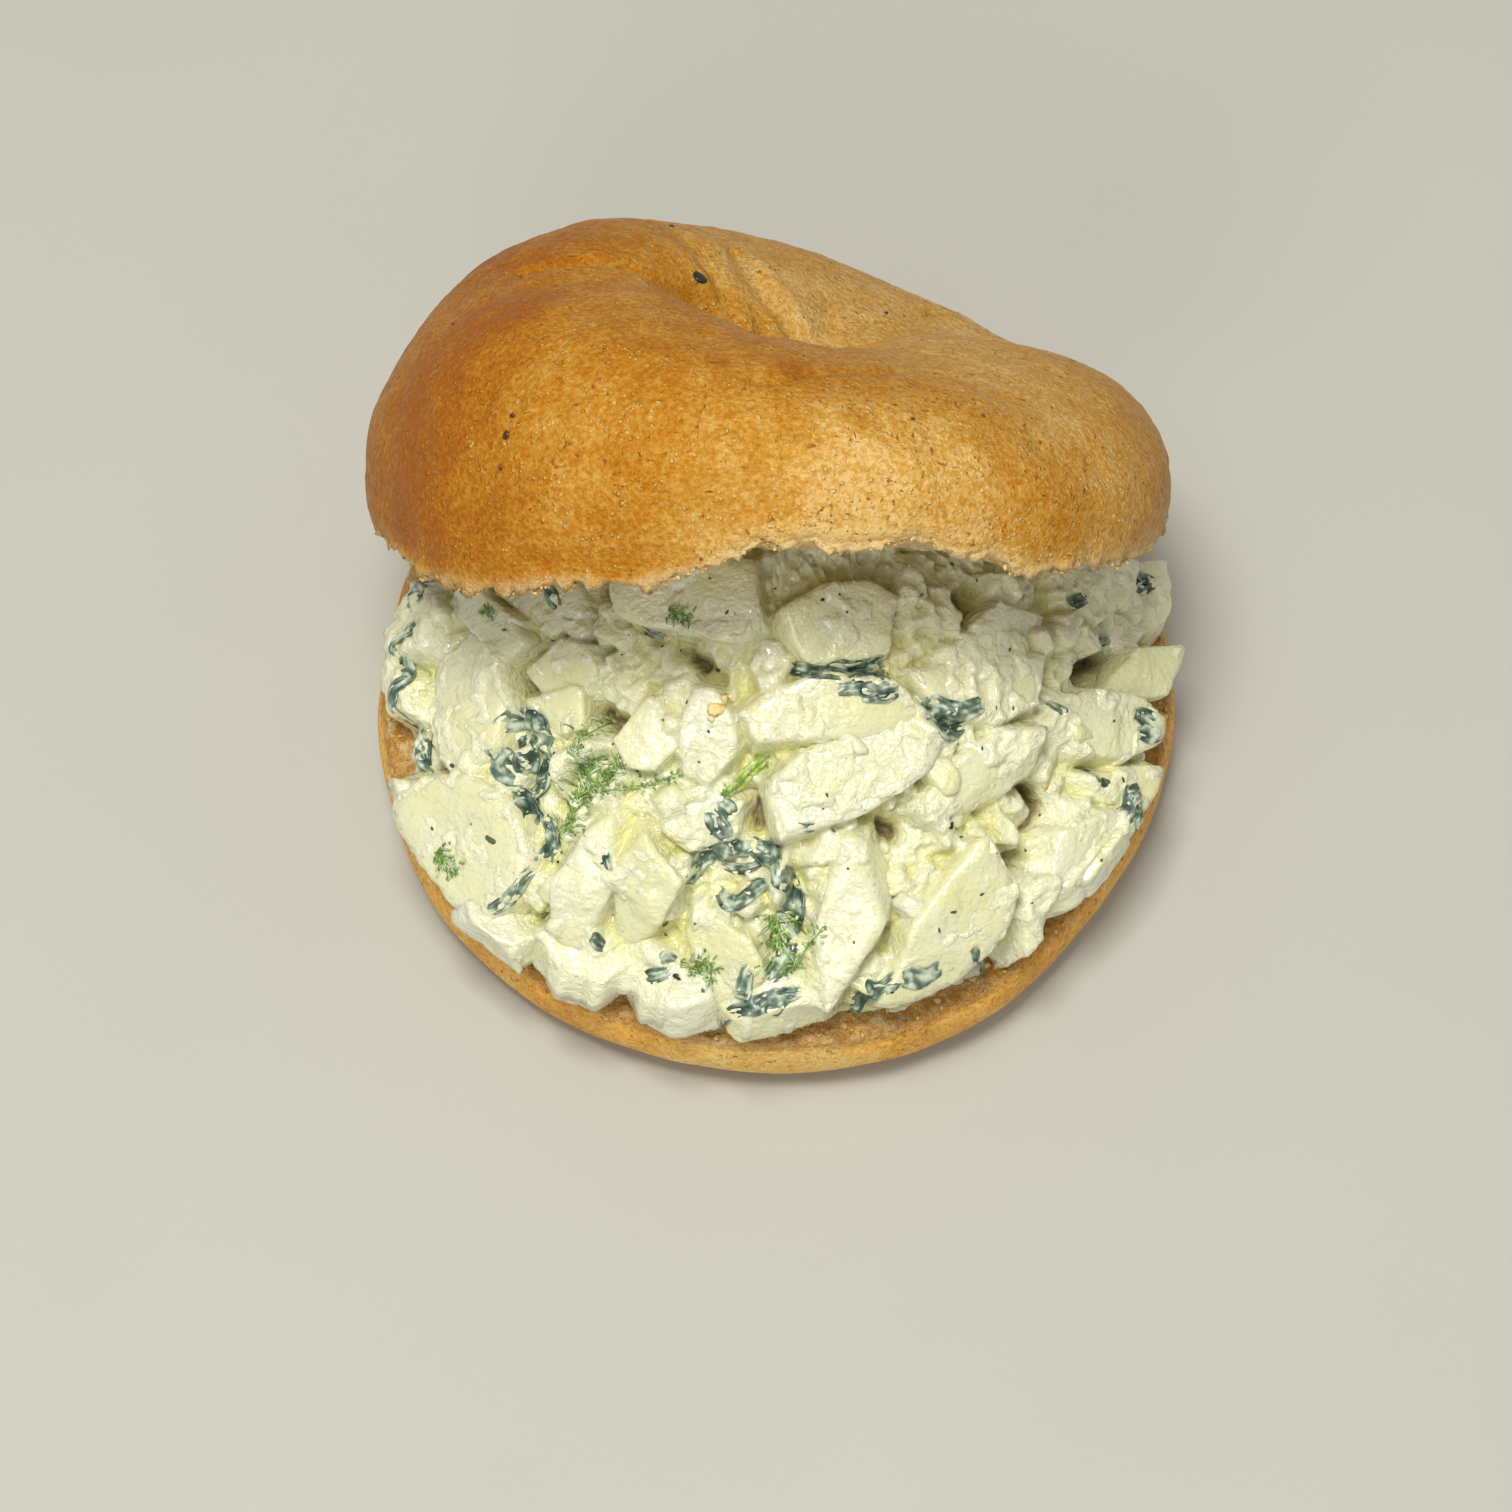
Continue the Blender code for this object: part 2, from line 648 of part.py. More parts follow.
def joined(body, parts, name):
    """The union of a solid with a list of others, which are used up."""
    extra = bpy.data.collections.new("extra")
    bpy.context.scene.collection.children.link(extra)
    for made in parts:
        bpy.context.collection.objects.unlink(made)
        extra.objects.link(made)
    union = body.modifiers.new("union", "BOOLEAN")
    union.operation = "UNION"
    union.operand_type = "COLLECTION"
    union.collection = extra
    union.solver = "MANIFOLD"
    depsgraph = bpy.context.evaluated_depsgraph_get()
    mesh = bpy.data.meshes.new_from_object(body.evaluated_get(depsgraph))
    for made in parts + [body]:
        bpy.data.objects.remove(made)
    bpy.data.collections.remove(extra)
    keep_outer_shell(mesh)
    made = bpy.data.objects.new(name, mesh)
    bpy.context.collection.objects.link(made)
    return made


def herb_shred(shred, index, surface):
    """A thin wavy ribbon of leaf that follows the heap under it and sinks in at its ends."""
    steps = 4
    thick = 0.9 * MM
    x = shred.x * MM
    y = shred.y * MM
    middle = []
    for i in range(-steps, steps + 1):
        middle.append(math.radians(shred.turn + 0.5 * shred.bend * i / steps))
    stride = shred.length * MM / len(middle)
    path = np.cumsum([(math.cos(a) * stride, math.sin(a) * stride) for a in middle], axis=0)
    path += np.array((x, y)) - path[steps]
    bm = bmesh.new()
    rows = []
    for i, (px, py) in enumerate(path):
        _, normal = heap_surface(px, py)
        start = Vector((px, py, heap_surface(px, py)[0].z)) + normal * 12.0 * MM
        landed = surface.ray_cast(start, -normal)[0]
        if landed is None:
            continue
        share = abs(i - steps) / steps
        wavy = 0.25 * MM * math.sin(1.7 * i + index)
        out = landed + normal * (0.35 * MM - 0.9 * MM * share**3 + wavy)
        along = Vector((math.cos(middle[i]), math.sin(middle[i]), 0.0))
        side = normal.cross(along).normalized() * (0.5 * shred.width * MM * (1.0 - 0.5 * share**2))
        up = normal * 0.5 * thick
        rows.append([bm.verts.new(p) for p in (out - side - up, out + side - up,
                                               out + side + up, out - side + up)])
    for here, after in zip(rows, rows[1:]):
        for j in range(4):
            k = (j + 1) % 4
            bm.faces.new((here[j], here[k], after[k], after[j]))
    bm.faces.new(list(reversed(rows[0])))
    bm.faces.new(rows[-1])
    bmesh.ops.recalc_face_normals(bm, faces=bm.faces)
    bmesh.ops.triangulate(bm, faces=bm.faces)
    return finished(bm, f"shred_{index}")


def egg_salad():
    """The heap: its core, the plug in the hole, the pieces of egg and the shreds, in one."""
    parts = [heap_plug()]
    for index, piece in enumerate(list(PIECES) + scattered_pieces()):
        parts.append(egg_piece(piece, index))
    heap = joined(heap_core(), [made for made in parts if made], "heap")
    depsgraph = bpy.context.evaluated_depsgraph_get()
    surface = BVHTree.FromObject(heap, depsgraph)
    shreds = [herb_shred(shred, index, surface) for index, shred in enumerate(SHREDS)]
    made = joined(heap, shreds, "egg_salad")
    made.data.materials.clear()
    dress(made, material("salad_cream", SALAD_CREAM, 0.35), 30)
    return made


def main():
    """Build the sandwich."""
    remove_everything()
    for made in (bagel_bottom(), egg_salad(), bagel_top()):
        to_sandwich_frame(made)


main()
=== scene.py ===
"""Looks of the bagel egg salad sandwich.

A cut bagel stands open like a clam over a heap of egg salad. Every surface here
is worked out on a grid of two parameters and dressed with a procedural finish.
Lengths inside the classes are in millimetres, measured from the lower half's
own centre: X to the right, Y to the back, Z up. Angles are in radians, unless a
line says degrees. The last step of each mesh brings it to metres and to the
sandwich's own origin.
"""

import logging
import math
from dataclasses import dataclass, field
from enum import Enum
from typing import Sequence

import bpy
import numpy as np
from bpy.types import Material, Node, NodeSocket, Object
from mathutils import Matrix, Vector
from mathutils.bvhtree import BVHTree


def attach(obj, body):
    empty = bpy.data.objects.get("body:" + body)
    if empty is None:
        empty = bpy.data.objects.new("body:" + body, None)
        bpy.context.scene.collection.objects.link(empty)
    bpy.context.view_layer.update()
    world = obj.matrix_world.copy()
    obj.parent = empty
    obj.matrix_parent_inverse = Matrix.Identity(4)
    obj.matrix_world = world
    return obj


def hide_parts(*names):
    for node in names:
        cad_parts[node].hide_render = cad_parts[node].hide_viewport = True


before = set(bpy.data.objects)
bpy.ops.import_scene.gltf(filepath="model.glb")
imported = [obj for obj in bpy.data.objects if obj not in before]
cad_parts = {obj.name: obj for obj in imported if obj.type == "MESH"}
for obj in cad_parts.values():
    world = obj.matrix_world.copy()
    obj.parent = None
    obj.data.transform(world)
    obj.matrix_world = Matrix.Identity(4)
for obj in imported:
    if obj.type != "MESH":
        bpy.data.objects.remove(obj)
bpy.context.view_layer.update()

Array = np.ndarray
Colour = tuple[float, float, float]
Line = Sequence[tuple[float, float]]
Terms = Sequence[tuple[float, float, float]]

log = logging.getLogger("sandwich")

MM = 0.001
SEED = 11

# Where the sandwich's origin lies in the lower half's frame
ORIGIN = np.array((0.4, 3.6, 0.0))


class Slot(Enum):
    """Material slots of the part."""

    LOWER = "lower_crust"
    SALAD = "salad"
    UPPER = "upper_crust"


def wave(angle: Array, terms: Terms) -> Array:
    """Sum of cosines round a ring.

    Args:
        angle: places round the ring, in radians.
        terms: (turns, height, phase in degrees) of each cosine.

    Returns:
        height * cos(turns * angle - phase), summed over the terms.
    """
    return sum(height * np.cos(turns * angle - math.radians(phase)) for turns, height, phase in terms)


def smooth_step(low: float, high: float, value: Array) -> Array:
    """Rise from 0 at low to 1 at high along 3 t^2 - 2 t^3."""
    t = np.clip((value - low) / (high - low), 0.0, 1.0)
    return t * t * (3.0 - 2.0 * t)


def window(value: Array, low: float, high: float, soft: float) -> Array:
    """1 between low and high, falling smoothly to 0 over the width soft on each side."""
    inside = np.clip(np.minimum(value - low, high - value) / soft, 0.0, 1.0)
    return inside * inside * (3.0 - 2.0 * inside)


def line_distance(places: Array, line: Line) -> Array:
    """Measure how far places on the plan are from a line of straight parts.

    Args:
        places: places on the last axis; only X and Y count.
        line: the line's corners.

    Returns:
        Distance from each place to the nearest point of the line.
    """
    nearest = np.inf
    for start, end in zip(line, line[1:]):
        step = np.subtract(end, start)
        from_start = places[..., :2] - np.array(start)
        share = np.clip((from_start @ step) / (step @ step), 0.0, 1.0)
        gap = from_start - share[..., None] * step
        nearest = np.minimum(nearest, np.hypot(gap[..., 0], gap[..., 1]))
    return nearest


def linear(colour: Colour) -> tuple[float, float, float, float]:
    """Turn a colour as it looks on a screen, 0 to 1 a channel, into light values."""
    light = tuple(c / 12.92 if c <= 0.04045 else ((c + 0.055) / 1.055) ** 2.4 for c in colour)
    return (*light, 1.0)


def unit(vectors: Array) -> Array:
    """Scale vectors on the last axis to length 1."""
    return vectors / np.maximum(np.linalg.norm(vectors, axis=-1, keepdims=True), 1e-9)


class Noise:
    """Smooth seeded noise on a cubic lattice that repeats after a number of cells."""

    def __init__(self, seed: int, cells: int = 32) -> None:
        """Draw the lattice's values between -1 and 1."""
        self.cells = cells
        self.table = np.random.default_rng(seed).uniform(-1.0, 1.0, (cells, cells, cells))

    def at(self, points: Array, pitch: float) -> Array:
        """Sample the noise.

        The eight lattice values round a point are mixed with the weights
        6 t^5 - 15 t^4 + 10 t^3 on each axis.

        Args:
            points: places, in millimetres, on the last axis.
            pitch: size of a lattice cell, in millimetres.

        Returns:
            A value between -1 and 1 for each place.
        """
        place = np.asarray(points) / pitch + 97.3
        cell = np.floor(place).astype(int)
        t = place - cell
        t = t * t * t * (t * (6.0 * t - 15.0) + 10.0)
        low = cell % self.cells
        high = (cell + 1) % self.cells
        total = 0.0
        for corner in range(8):
            bits = [(corner >> axis) & 1 for axis in range(3)]
            index = tuple((high if bit else low)[..., axis] for axis, bit in enumerate(bits))
            share = 1.0
            for axis, bit in enumerate(bits):
                share = share * (t[..., axis] if bit else 1.0 - t[..., axis])
            total = total + share * self.table[index]
        return total

    def layered(self, points: Array, pitch: float, layers: int, keep: float = 0.5) -> Array:
        """Sum layers of the noise, each at half the pitch and keep times the height of the last.

        Args:
            points: places, in millimetres, on the last axis.
            pitch: size of the first layer's cells, in millimetres.
            layers: how many layers.
            keep: height of a layer over that of the one before.

        Returns:
            The sum for each place.
        """
        total = 0.0
        height = 1.0
        for layer in range(layers):
            total = total + height * self.at(points + 13.7 * layer, pitch / 2.0**layer)
            height *= keep
        return total


def grid_faces(rows: int, columns: int, wrap_rows: bool, wrap_columns: bool = True) -> Array:
    """Number the corners of a grid's quads, with its points numbered row by row.

    Args:
        rows: rows of points.
        columns: points in a row.
        wrap_rows: whether the last row joins the first.
        wrap_columns: whether the last column joins the first.

    Returns:
        Four point numbers for each quad.
    """
    r = np.arange(rows if wrap_rows else rows - 1)
    c = np.arange(columns if wrap_columns else columns - 1)
    row, column = np.meshgrid(r, c, indexing="ij")
    here = row * columns
    below = (row + 1) % rows * columns
    right = (column + 1) % columns
    corners = (here + column, here + right, below + right, below + column)
    return np.stack(corners, axis=-1).reshape(-1, 4)


def cap_faces(pole: int, row: Array) -> Array:
    """Triangles between a pole and a closed row of points, with the pole's corner twice."""
    poles = np.full(len(row), pole)
    return np.stack((poles, row, np.roll(row, -1), poles), axis=-1)


def signed_volume(points: Array, faces: Array) -> float:
    """Volume inside a closed mesh of quads, below 0 if its faces point inwards."""
    a, b, c, d = (points[faces[:, k]] for k in range(4))
    return float((np.cross(a, b) * c).sum() + (np.cross(a, c) * d).sum()) / 6.0


@dataclass
class Shape:
    """Points and faces of a closed surface, with values kept at its points.

    A face has four corners; one whose last corner repeats its first is a triangle.
    Faces that touch a point from first_flat on are shaded flat.
    """

    points: Array
    faces: Array
    values: dict[str, Array] = field(default_factory=dict)
    first_flat: int | None = None

    def to_object(self, name: str, finish: Material) -> Object:
        """Make the Blender object, in metres and about the sandwich's origin.

        Args:
            name: the object's name.
            finish: its material.

        Returns:
            The object, smooth shaded, its faces pointing outwards.
        """
        faces = self.faces
        if signed_volume(self.points, faces) < 0.0:
            faces = faces[:, ::-1]
        corners = np.where(faces[:, 0] == faces[:, 3], 3, 4)
        indices = faces[np.arange(4)[None, :] < corners[:, None]]
        starts = np.concatenate(([0], np.cumsum(corners)[:-1]))
        mesh = bpy.data.meshes.new(name)
        mesh.vertices.add(len(self.points))
        mesh.vertices.foreach_set("co", ((self.points - ORIGIN) * MM).astype(np.float32).ravel())
        mesh.loops.add(len(indices))
        mesh.loops.foreach_set("vertex_index", indices.astype(np.int32))
        mesh.polygons.add(len(corners))
        mesh.polygons.foreach_set("loop_start", starts.astype(np.int32))
        mesh.update(calc_edges=True)
        smooth = np.ones(len(corners), bool)
        if self.first_flat is not None:
            smooth = (faces < self.first_flat).all(axis=1)
        mesh.polygons.foreach_set("use_smooth", smooth)
        for label, values in self.values.items():
            kept = mesh.attributes.new(label, "FLOAT", "POINT")
            kept.data.foreach_set("value", values.astype(np.float32).ravel())
        mesh.materials.append(finish)
        made = bpy.data.objects.new(name, mesh)
        bpy.context.scene.collection.objects.link(made)
        return made


def joined(shapes: Sequence[Shape]) -> Shape:
    """Put several shapes into one, each still closed by itself.

    Args:
        shapes: the shapes, all with the values that the first one keeps.

    Returns:
        One shape with all their points and faces.
    """
    starts = np.cumsum([0] + [len(shape.points) for shape in shapes[:-1]])
    faces = np.concatenate([shape.faces + start for shape, start in zip(shapes, starts)])
    values = {name: np.concatenate([shape.values[name] for shape in shapes]) for name in shapes[0].values}
    return Shape(np.concatenate([shape.points for shape in shapes]), faces, values)


def present(made: Object, slot: Slot, stands_for: Sequence[str] = ()) -> None:
    """Let a piece ride on the sandwich, hide the solids that it stands for, and log its slot.

    Args:
        made: the piece.
        slot: the material slot that its finish belongs to.
        stands_for: the solids that it replaces.
    """
    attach(made, "root")
    if stands_for:
        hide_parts(*stands_for)
    log.info("%s: %d faces, slot %s", made.name, len(made.data.polygons), slot.value)


def outward(points: Array, wrap_rows: bool) -> Array:
    """Directions square to a grid's surface, from differences along its rows and columns.

    Args:
        points: a grid of places (rows, columns, 3), closed along the columns.
        wrap_rows: whether the rows also close on themselves.

    Returns:
        Unit vectors; the cross product of the step to the next row and to the next column.
    """
    across = np.roll(points, -1, axis=1) - np.roll(points, 1, axis=1)
    if wrap_rows:
        down = np.roll(points, -1, axis=0) - np.roll(points, 1, axis=0)
    else:
        down = np.gradient(points, axis=0)
    return unit(np.cross(down, across))


def dense_angles(count: int, front_share: float) -> Array:
    """Angles round the ring, closer together at the front, -90 degrees.

    The step between angles is larger by front_share at the back and smaller by it
    at the front: angle = t + front_share * cos(t), with t in even steps.
    """
    t = np.linspace(-math.pi, math.pi, count, endpoint=False)
    return t + front_share * np.cos(t)


@dataclass(frozen=True)
class Crease:
    """A line pressed into the crust, or raised on it where the depth is below 0.

    Its line runs over the cut plane, across and backwards from the ring's middle.
    """

    line: Line
    width: float
    depth: float


CREASES = (
    Crease(((-34, -2), (-24, -0.8), (-17, 0), (-12, 3), (-8, 5)), 1.8, 2.2),
    Crease(((-32, -7), (-24, -5.5), (-16, -5), (-9, -3)), 3.0, -0.5),
    Crease(((-3, -42), (1, -41.3), (6.6, -36.2), (15.4, -31), (20.7, -27.3), (25, -25)), 0.9, 0.5),
    Crease(((-5.3, 23), (-1.8, 15.1), (1.9, 10.4)), 1.7, 1.0),
    Crease(((-2.0, 22), (0.8, 16.6), (4.8, 13.2)), 1.2, -0.6),
    Crease(((-12, 18), (-9, 13), (-6, 9)), 2.2, 0.9),
    Crease(((8, 20), (8, 16), (7.5, 10)), 1.8, 0.5),
    Crease(((-34, -33), (-27.7, -38.5)), 0.8, -0.25),
    Crease(((30, -30), (38, -24), (44, -14)), 1.2, 0.3),
)


@dataclass(frozen=True)
class Mark:
    """A patch of crust that is browner, or paler where its browning is below 0."""

    middle: tuple[float, float]
    size: float
    browning: float


MARKS = (
    Mark((-34.6, -18.2), 5.5, 0.4),
    Mark((-46.0, -22.0), 9.0, 0.2),
    Mark((-7.0, -38.6), 1.5, 0.4),
    Mark((2.4, -37.7), 2.6, 0.32),
    Mark((11.0, -47.0), 1.6, 0.25),
    Mark((29.0, -44.0), 2.0, 0.2),
    Mark((-26.0, -44.0), 7.0, -0.18),
    # Pale patches along the front edge: less baked crust, and partly painted sheen where the crust faces the
    # light
    Mark((-8.0, -53.0), 7.0, -0.3),
    Mark((9.0, -53.5), 9.0, -0.4),
    Mark((25.0, -49.0), 7.0, -0.25),
    Mark((-30.0, -35.0), 3.0, -0.2),
    Mark((3.0, 16.0), 8.0, -0.3),
    Mark((34.0, -24.0), 14.0, -0.16),
    Mark((-34.0, 2.0), 9.0, 0.12),
)


class Loop:
    """A closed cross-section gathered row by row: radius, height and share of crumb."""

    def __init__(self, angle: Array) -> None:
        """Start with no rows, for angles round the ring."""
        self.angle = angle
        self.rows: list[list[Array]] = []

    def add(self, *parts: Array | float) -> None:
        """Add a row's radius, height and crumb; a single number holds all the way round."""
        self.rows.append([np.broadcast_to(part, self.angle.shape) for part in parts])

    def stacked(self) -> tuple[Array, Array, Array]:
        """Radius, height and share of crumb, each as (rows, columns)."""
        radius, height, crumb = (np.stack(part) for part in zip(*self.rows))
        return radius, height, crumb


@dataclass
class UpperHalf:
    """The domed half that leans back on the salad with its torn front edge raised.

    sag: how far its left and right ends hang
    crest_heights: heights of the dome, evenly round the ring from the right
    torn, lip: from how many degrees to how many the front edge stands back or hangs, and how far
    rows: rows on the cut face, the rim, the dome, the hole's wall and its mouth
    lift_width, ragged_width: how far in from the edge the lift and the teeth reach
    dome_power, wall_power: squareness of the dome and of the hole's wall
    seat: the flat places, points and directions of the finished surface
    """

    radius: float = 55.4
    tilt: float = math.radians(43.5)
    centre_y: float = 15.5
    centre_z: float = 53.5
    sag: float = 9.0
    bulge_height: float = 6.5
    edge_inset: float = 1.3
    crest_radius: float = 30.0
    crest_heights: tuple[float, ...] = (20.5, 14.2, 23.2, 31.0, 32.0, 30.5, 25.0, 21.5)
    hole_radius: float = 6.5
    hole_flare: float = 2.0
    throat: float = 8.0
    torn: tuple[float, float, float] = (-101.0, -52.0, 2.9)
    lip: tuple[float, float, float] = (-162.0, -99.0, 2.8)
    columns: int = 640
    rows: tuple[int, int, int, int, int] = (36, 12, 52, 34, 10)
    lift_width: float = 17.0
    ragged_width: float = 2.6
    dome_power: float = 0.86
    wall_power: float = 0.9
    noise: Noise = field(default_factory=lambda: Noise(SEED))
    seat: tuple[Array, Array, Array] = field(init=False, repr=False)

    def outline(self, angle: Array) -> Array:
        """Outer radius at the widest."""
        return self.radius + wave(angle, ((2, 0.8, 0), (3, 0.7, 200), (5, 0.4, 80)))

    def crest(self, angle: Array) -> Array:
        """Find the dome's height over the cut face.

        Args:
            angle: places round the ring, in radians.

        Returns:
            Heights on a closed cubic through the named ones, sloping at each as its neighbours do.
        """
        heights = np.array(self.crest_heights)
        count = len(heights)
        place = np.mod(angle, 2.0 * math.pi) / (2.0 * math.pi) * count
        first = np.floor(place).astype(int) % count
        t = place - np.floor(place)
        before, here, after, beyond = (heights[(first + k) % count] for k in (-1, 0, 1, 2))
        rise_here = 0.5 * (after - before)
        rise_after = 0.5 * (beyond - here)
        return (
            here * (2.0 * t**3 - 3.0 * t**2 + 1.0)
            + rise_here * (t**3 - 2.0 * t**2 + t)
            + after * (3.0 * t**2 - 2.0 * t**3)
            + rise_after * (t**3 - t**2)
        )

    def hole(self, angle: Array) -> Array:
        """Radius of the pinched hole, with the pleats that run into it."""
        return self.hole_radius + wave(angle, ((2, 1.4, 10), (7, 0.5, 40), (11, 0.35, 0)))

    def rim_lift(self, angle: Array) -> Array:
        """Find how far the front edge stands back from the cut plane, torn or hanging as a lip.

        Args:
            angle: places round the ring, in radians.

        Returns:
            The lift, below 0 on the lip.
        """
        degrees = np.degrees(np.mod(angle + math.pi, 2.0 * math.pi) - math.pi)
        torn_from, torn_to, torn_lift = self.torn
        lip_from, lip_to, lip_drop = self.lip
        torn = window(degrees, torn_from, torn_to, 9.0) * torn_lift
        lip = window(degrees, lip_from, lip_to, 14.0) * lip_drop
        return np.maximum(0.0, torn + 0.6 + wave(angle, ((9, 0.4, 20), (14, 0.3, 100)))) - lip

    def raggedness(self, angle: Array) -> Array:
        """Work out the notches and teeth of the torn crumb along the front edge.

        Args:
            angle: places round the ring, in radians.

        Returns:
            How far the crumb stands back or out.
        """
        ring = np.stack((np.cos(angle), np.sin(angle), np.zeros_like(angle)), axis=-1) * self.radius
        front = window(np.degrees(angle), -176.0, -4.0, 20.0)
        notches = 1.5 * np.abs(self.noise.layered(ring, 5.0, 2, 0.6)) - 0.4
        teeth = 0.55 * self.noise.layered(ring + 31.0, 1.7, 2, 0.7)
        return (0.2 + 0.8 * front) * (notches + teeth)

    def section(self, angle: Array) -> tuple[Array, Array, Array]:
        """Cross-section of the ring at each angle.

        The loop runs from the hole's mouth outwards along the cut face, up over
        the rim, round the dome as two quarters of a squared ellipse, and back
        down the hole.

        Args:
            angle: places round the ring, in radians.

        Returns:
            Radius and height over the cut plane, and a share that is 1 on crumb
            and 0 on crust, each as (rows, columns).
        """
        widest = self.outline(angle)
        crest = self.crest(angle)
        crest_radius = self.crest_radius + wave(angle, ((1, 2.0, 190), (2, 1.5, 90)))
        hole = self.hole(angle)
        ragged = self.raggedness(angle)
        smooth_lift = self.rim_lift(angle)
        lift = smooth_lift + ragged
        edge = widest - self.edge_inset
        mouth = hole + self.hole_flare
        bulge = np.maximum(self.bulge_height, lift + 2.5)
        loop = Loop(angle)
        face_rows, rim_rows, dome_rows, wall_rows, mouth_rows = self.rows
        for t in np.linspace(0.0, 1.0, face_rows, endpoint=False) ** 0.7:
            radius = mouth + (edge - mouth) * t
            from_edge = np.clip((radius - (edge - self.lift_width)) / self.lift_width, 0.0, 1.0)
            at_edge = np.clip((radius - (edge - self.ragged_width)) / self.ragged_width, 0.0, 1.0)
            loop.add(radius, smooth_lift * from_edge**1.2 + ragged * at_edge, 1.0)
        for t in np.linspace(0.0, 1.0, rim_rows, endpoint=False):
            crumb = 1.0 - smooth_step(0.02, 0.3, t + 0.15 * ragged)
            loop.add(widest - self.edge_inset * (1.0 - t) ** 2, lift + (bulge - lift) * t, crumb)
        for t in np.linspace(0.0, 1.0, dome_rows, endpoint=False):
            turn = 0.5 * math.pi * t
            radius = crest_radius + (widest - crest_radius) * math.cos(turn) ** self.dome_power
            loop.add(radius, bulge + (crest - bulge) * math.sin(turn) ** self.dome_power, 0.0)
        for t in np.linspace(1.0, 0.0, wall_rows, endpoint=False):
            turn = 0.5 * math.pi * t
            radius = crest_radius - (crest_radius - hole) * math.cos(turn) ** self.wall_power
            loop.add(radius, self.throat + (crest - self.throat) * math.sin(turn) ** self.wall_power, 0.0)
        for t in np.linspace(1.0, 0.0, mouth_rows, endpoint=False):
            crumb = 1.0 - smooth_step(0.1, 0.5, np.full_like(angle, t))
            loop.add(hole + self.hole_flare * (1.0 - t) ** 2, self.throat * t, crumb)
        return loop.stacked()

    def place(self, x: Array, along: Array, height: Array) -> Array:
        """Lean points of the cut plane into the sandwich's frame.

        Args:
            x: places across.
            along: places backwards, along the cut plane.
            height: places outwards from it.

        Returns:
            The leaning points, on the last axis.
        """
        out = height - self.sag * (x / self.radius) ** 2
        y = self.centre_y + along * math.cos(self.tilt) + out * math.sin(self.tilt)
        z = self.centre_z - along * math.sin(self.tilt) + out * math.cos(self.tilt)
        return np.stack((x, y, z), axis=-1)

    def ceiling(self, x: Array, y: Array) -> Array:
        """Height of the cut face over a plan point."""
        flat = self.centre_z - (y - self.centre_y) * math.tan(self.tilt)
        return flat - self.sag * (x / self.radius) ** 2 / math.cos(self.tilt)

    def shape(self) -> Shape:
        """Work out the surface with its relief and the values that its finish reads.

        The relief is noise in three sizes on the crust, and pores on the crumb,
        both moved along the surface's own outward direction.

        Returns:
            The closed surface, which also stays in seat.
        """
        angle = dense_angles(self.columns, 0.35)
        radius, height, crumb = self.section(angle)
        flat = np.stack((radius * np.cos(angle), radius * np.sin(angle), height), axis=-1)
        points = self.place(flat[..., 0], flat[..., 1], height)
        out = outward(points, True)
        middle = np.array((0.0, self.centre_y, self.centre_z))
        on_dome = sum(self.rows[:2]) + 12
        out *= np.sign((out[on_dome] * (points[on_dome] - middle)).sum(-1).mean())
        crust = 1.0 - crumb
        lumps = 0.5 * self.noise.layered(flat, 16.0, 2) + 0.16 * self.noise.layered(flat, 3.6, 3, 0.6)
        pores = 0.5 * self.noise.layered(flat, 2.2, 3, 0.7)
        near_hole = np.exp(-np.clip(radius - self.hole(angle), 0.0, None) / 9.0) * crust
        pleats = 0.35 * np.cos(13.0 * angle + 1.5 * self.noise.at(flat, 11.0)) * near_hole
        folds = sum(
            -crease.depth * np.exp(-(line_distance(flat, crease.line) / crease.width) ** 2)
            for crease in CREASES
        )
        fade = smooth_step(0.0, 2.0, height)
        moved = crust * fade * (lumps - 0.3 + pleats) + crumb * np.minimum(pores, 0.2)
        moved = moved + crust * smooth_step(8.0, 12.0, height) * folds
        torn = crumb * smooth_step(3.0, 0.5, self.outline(angle) - radius)
        moved = moved + 0.55 * torn * self.noise.layered(flat + 50.0, 1.3, 3, 0.7)
        points = points + out * moved[..., None]
        self.seat = (flat, points, out)
        rows, columns = radius.shape
        values = {
            "crumb": crumb.ravel(),
            "baked": self.baked(flat, height, angle).ravel(),
        }
        return Shape(points.reshape(-1, 3), grid_faces(rows, columns, True), values)

    def baked(self, flat: Array, height: Array, angle: Array) -> Array:
        """Find how brown the crust is.

        Deepest on the left lobe, paler to the right, palest along the front edge
        right of the middle, where the paleness is partly painted sheen, and on the wall behind the hole.

        Args:
            flat: places over the cut plane.
            height: their heights over it.
            angle: places round the ring, in radians.

        Returns:
            Values from 0 for pale to 1 for deep brown.
        """
        x = flat[..., 0]
        along = flat[..., 1]
        left = smooth_step(25.0, -50.0, x)
        behind = smooth_step(0.0, 14.0, along) * smooth_step(-30.0, -5.0, x)
        clouds = 0.12 * self.noise.layered(flat, 20.0, 3)
        edge = smooth_step(5.0, 0.5, height - self.rim_lift(angle))
        # the marks brown or pale the crust; the pale ones along the front edge are partly painted sheen
        patches = 0.0
        for mark in MARKS:
            away = (x - mark.middle[0]) ** 2 + (along - mark.middle[1]) ** 2
            patches = patches + mark.browning * np.exp(-(away / mark.size**2))
        middle = np.exp(-(((x - 2.0) / 30.0) ** 2)) * smooth_step(-10.0, -30.0, along)
        browning = 0.44 + 0.36 * left + 0.12 * middle - 0.1 * behind - 0.3 * edge + clouds
        return np.clip(browning + patches * smooth_step(3.0, 8.0, height + 3.0), 0.0, 1.0)

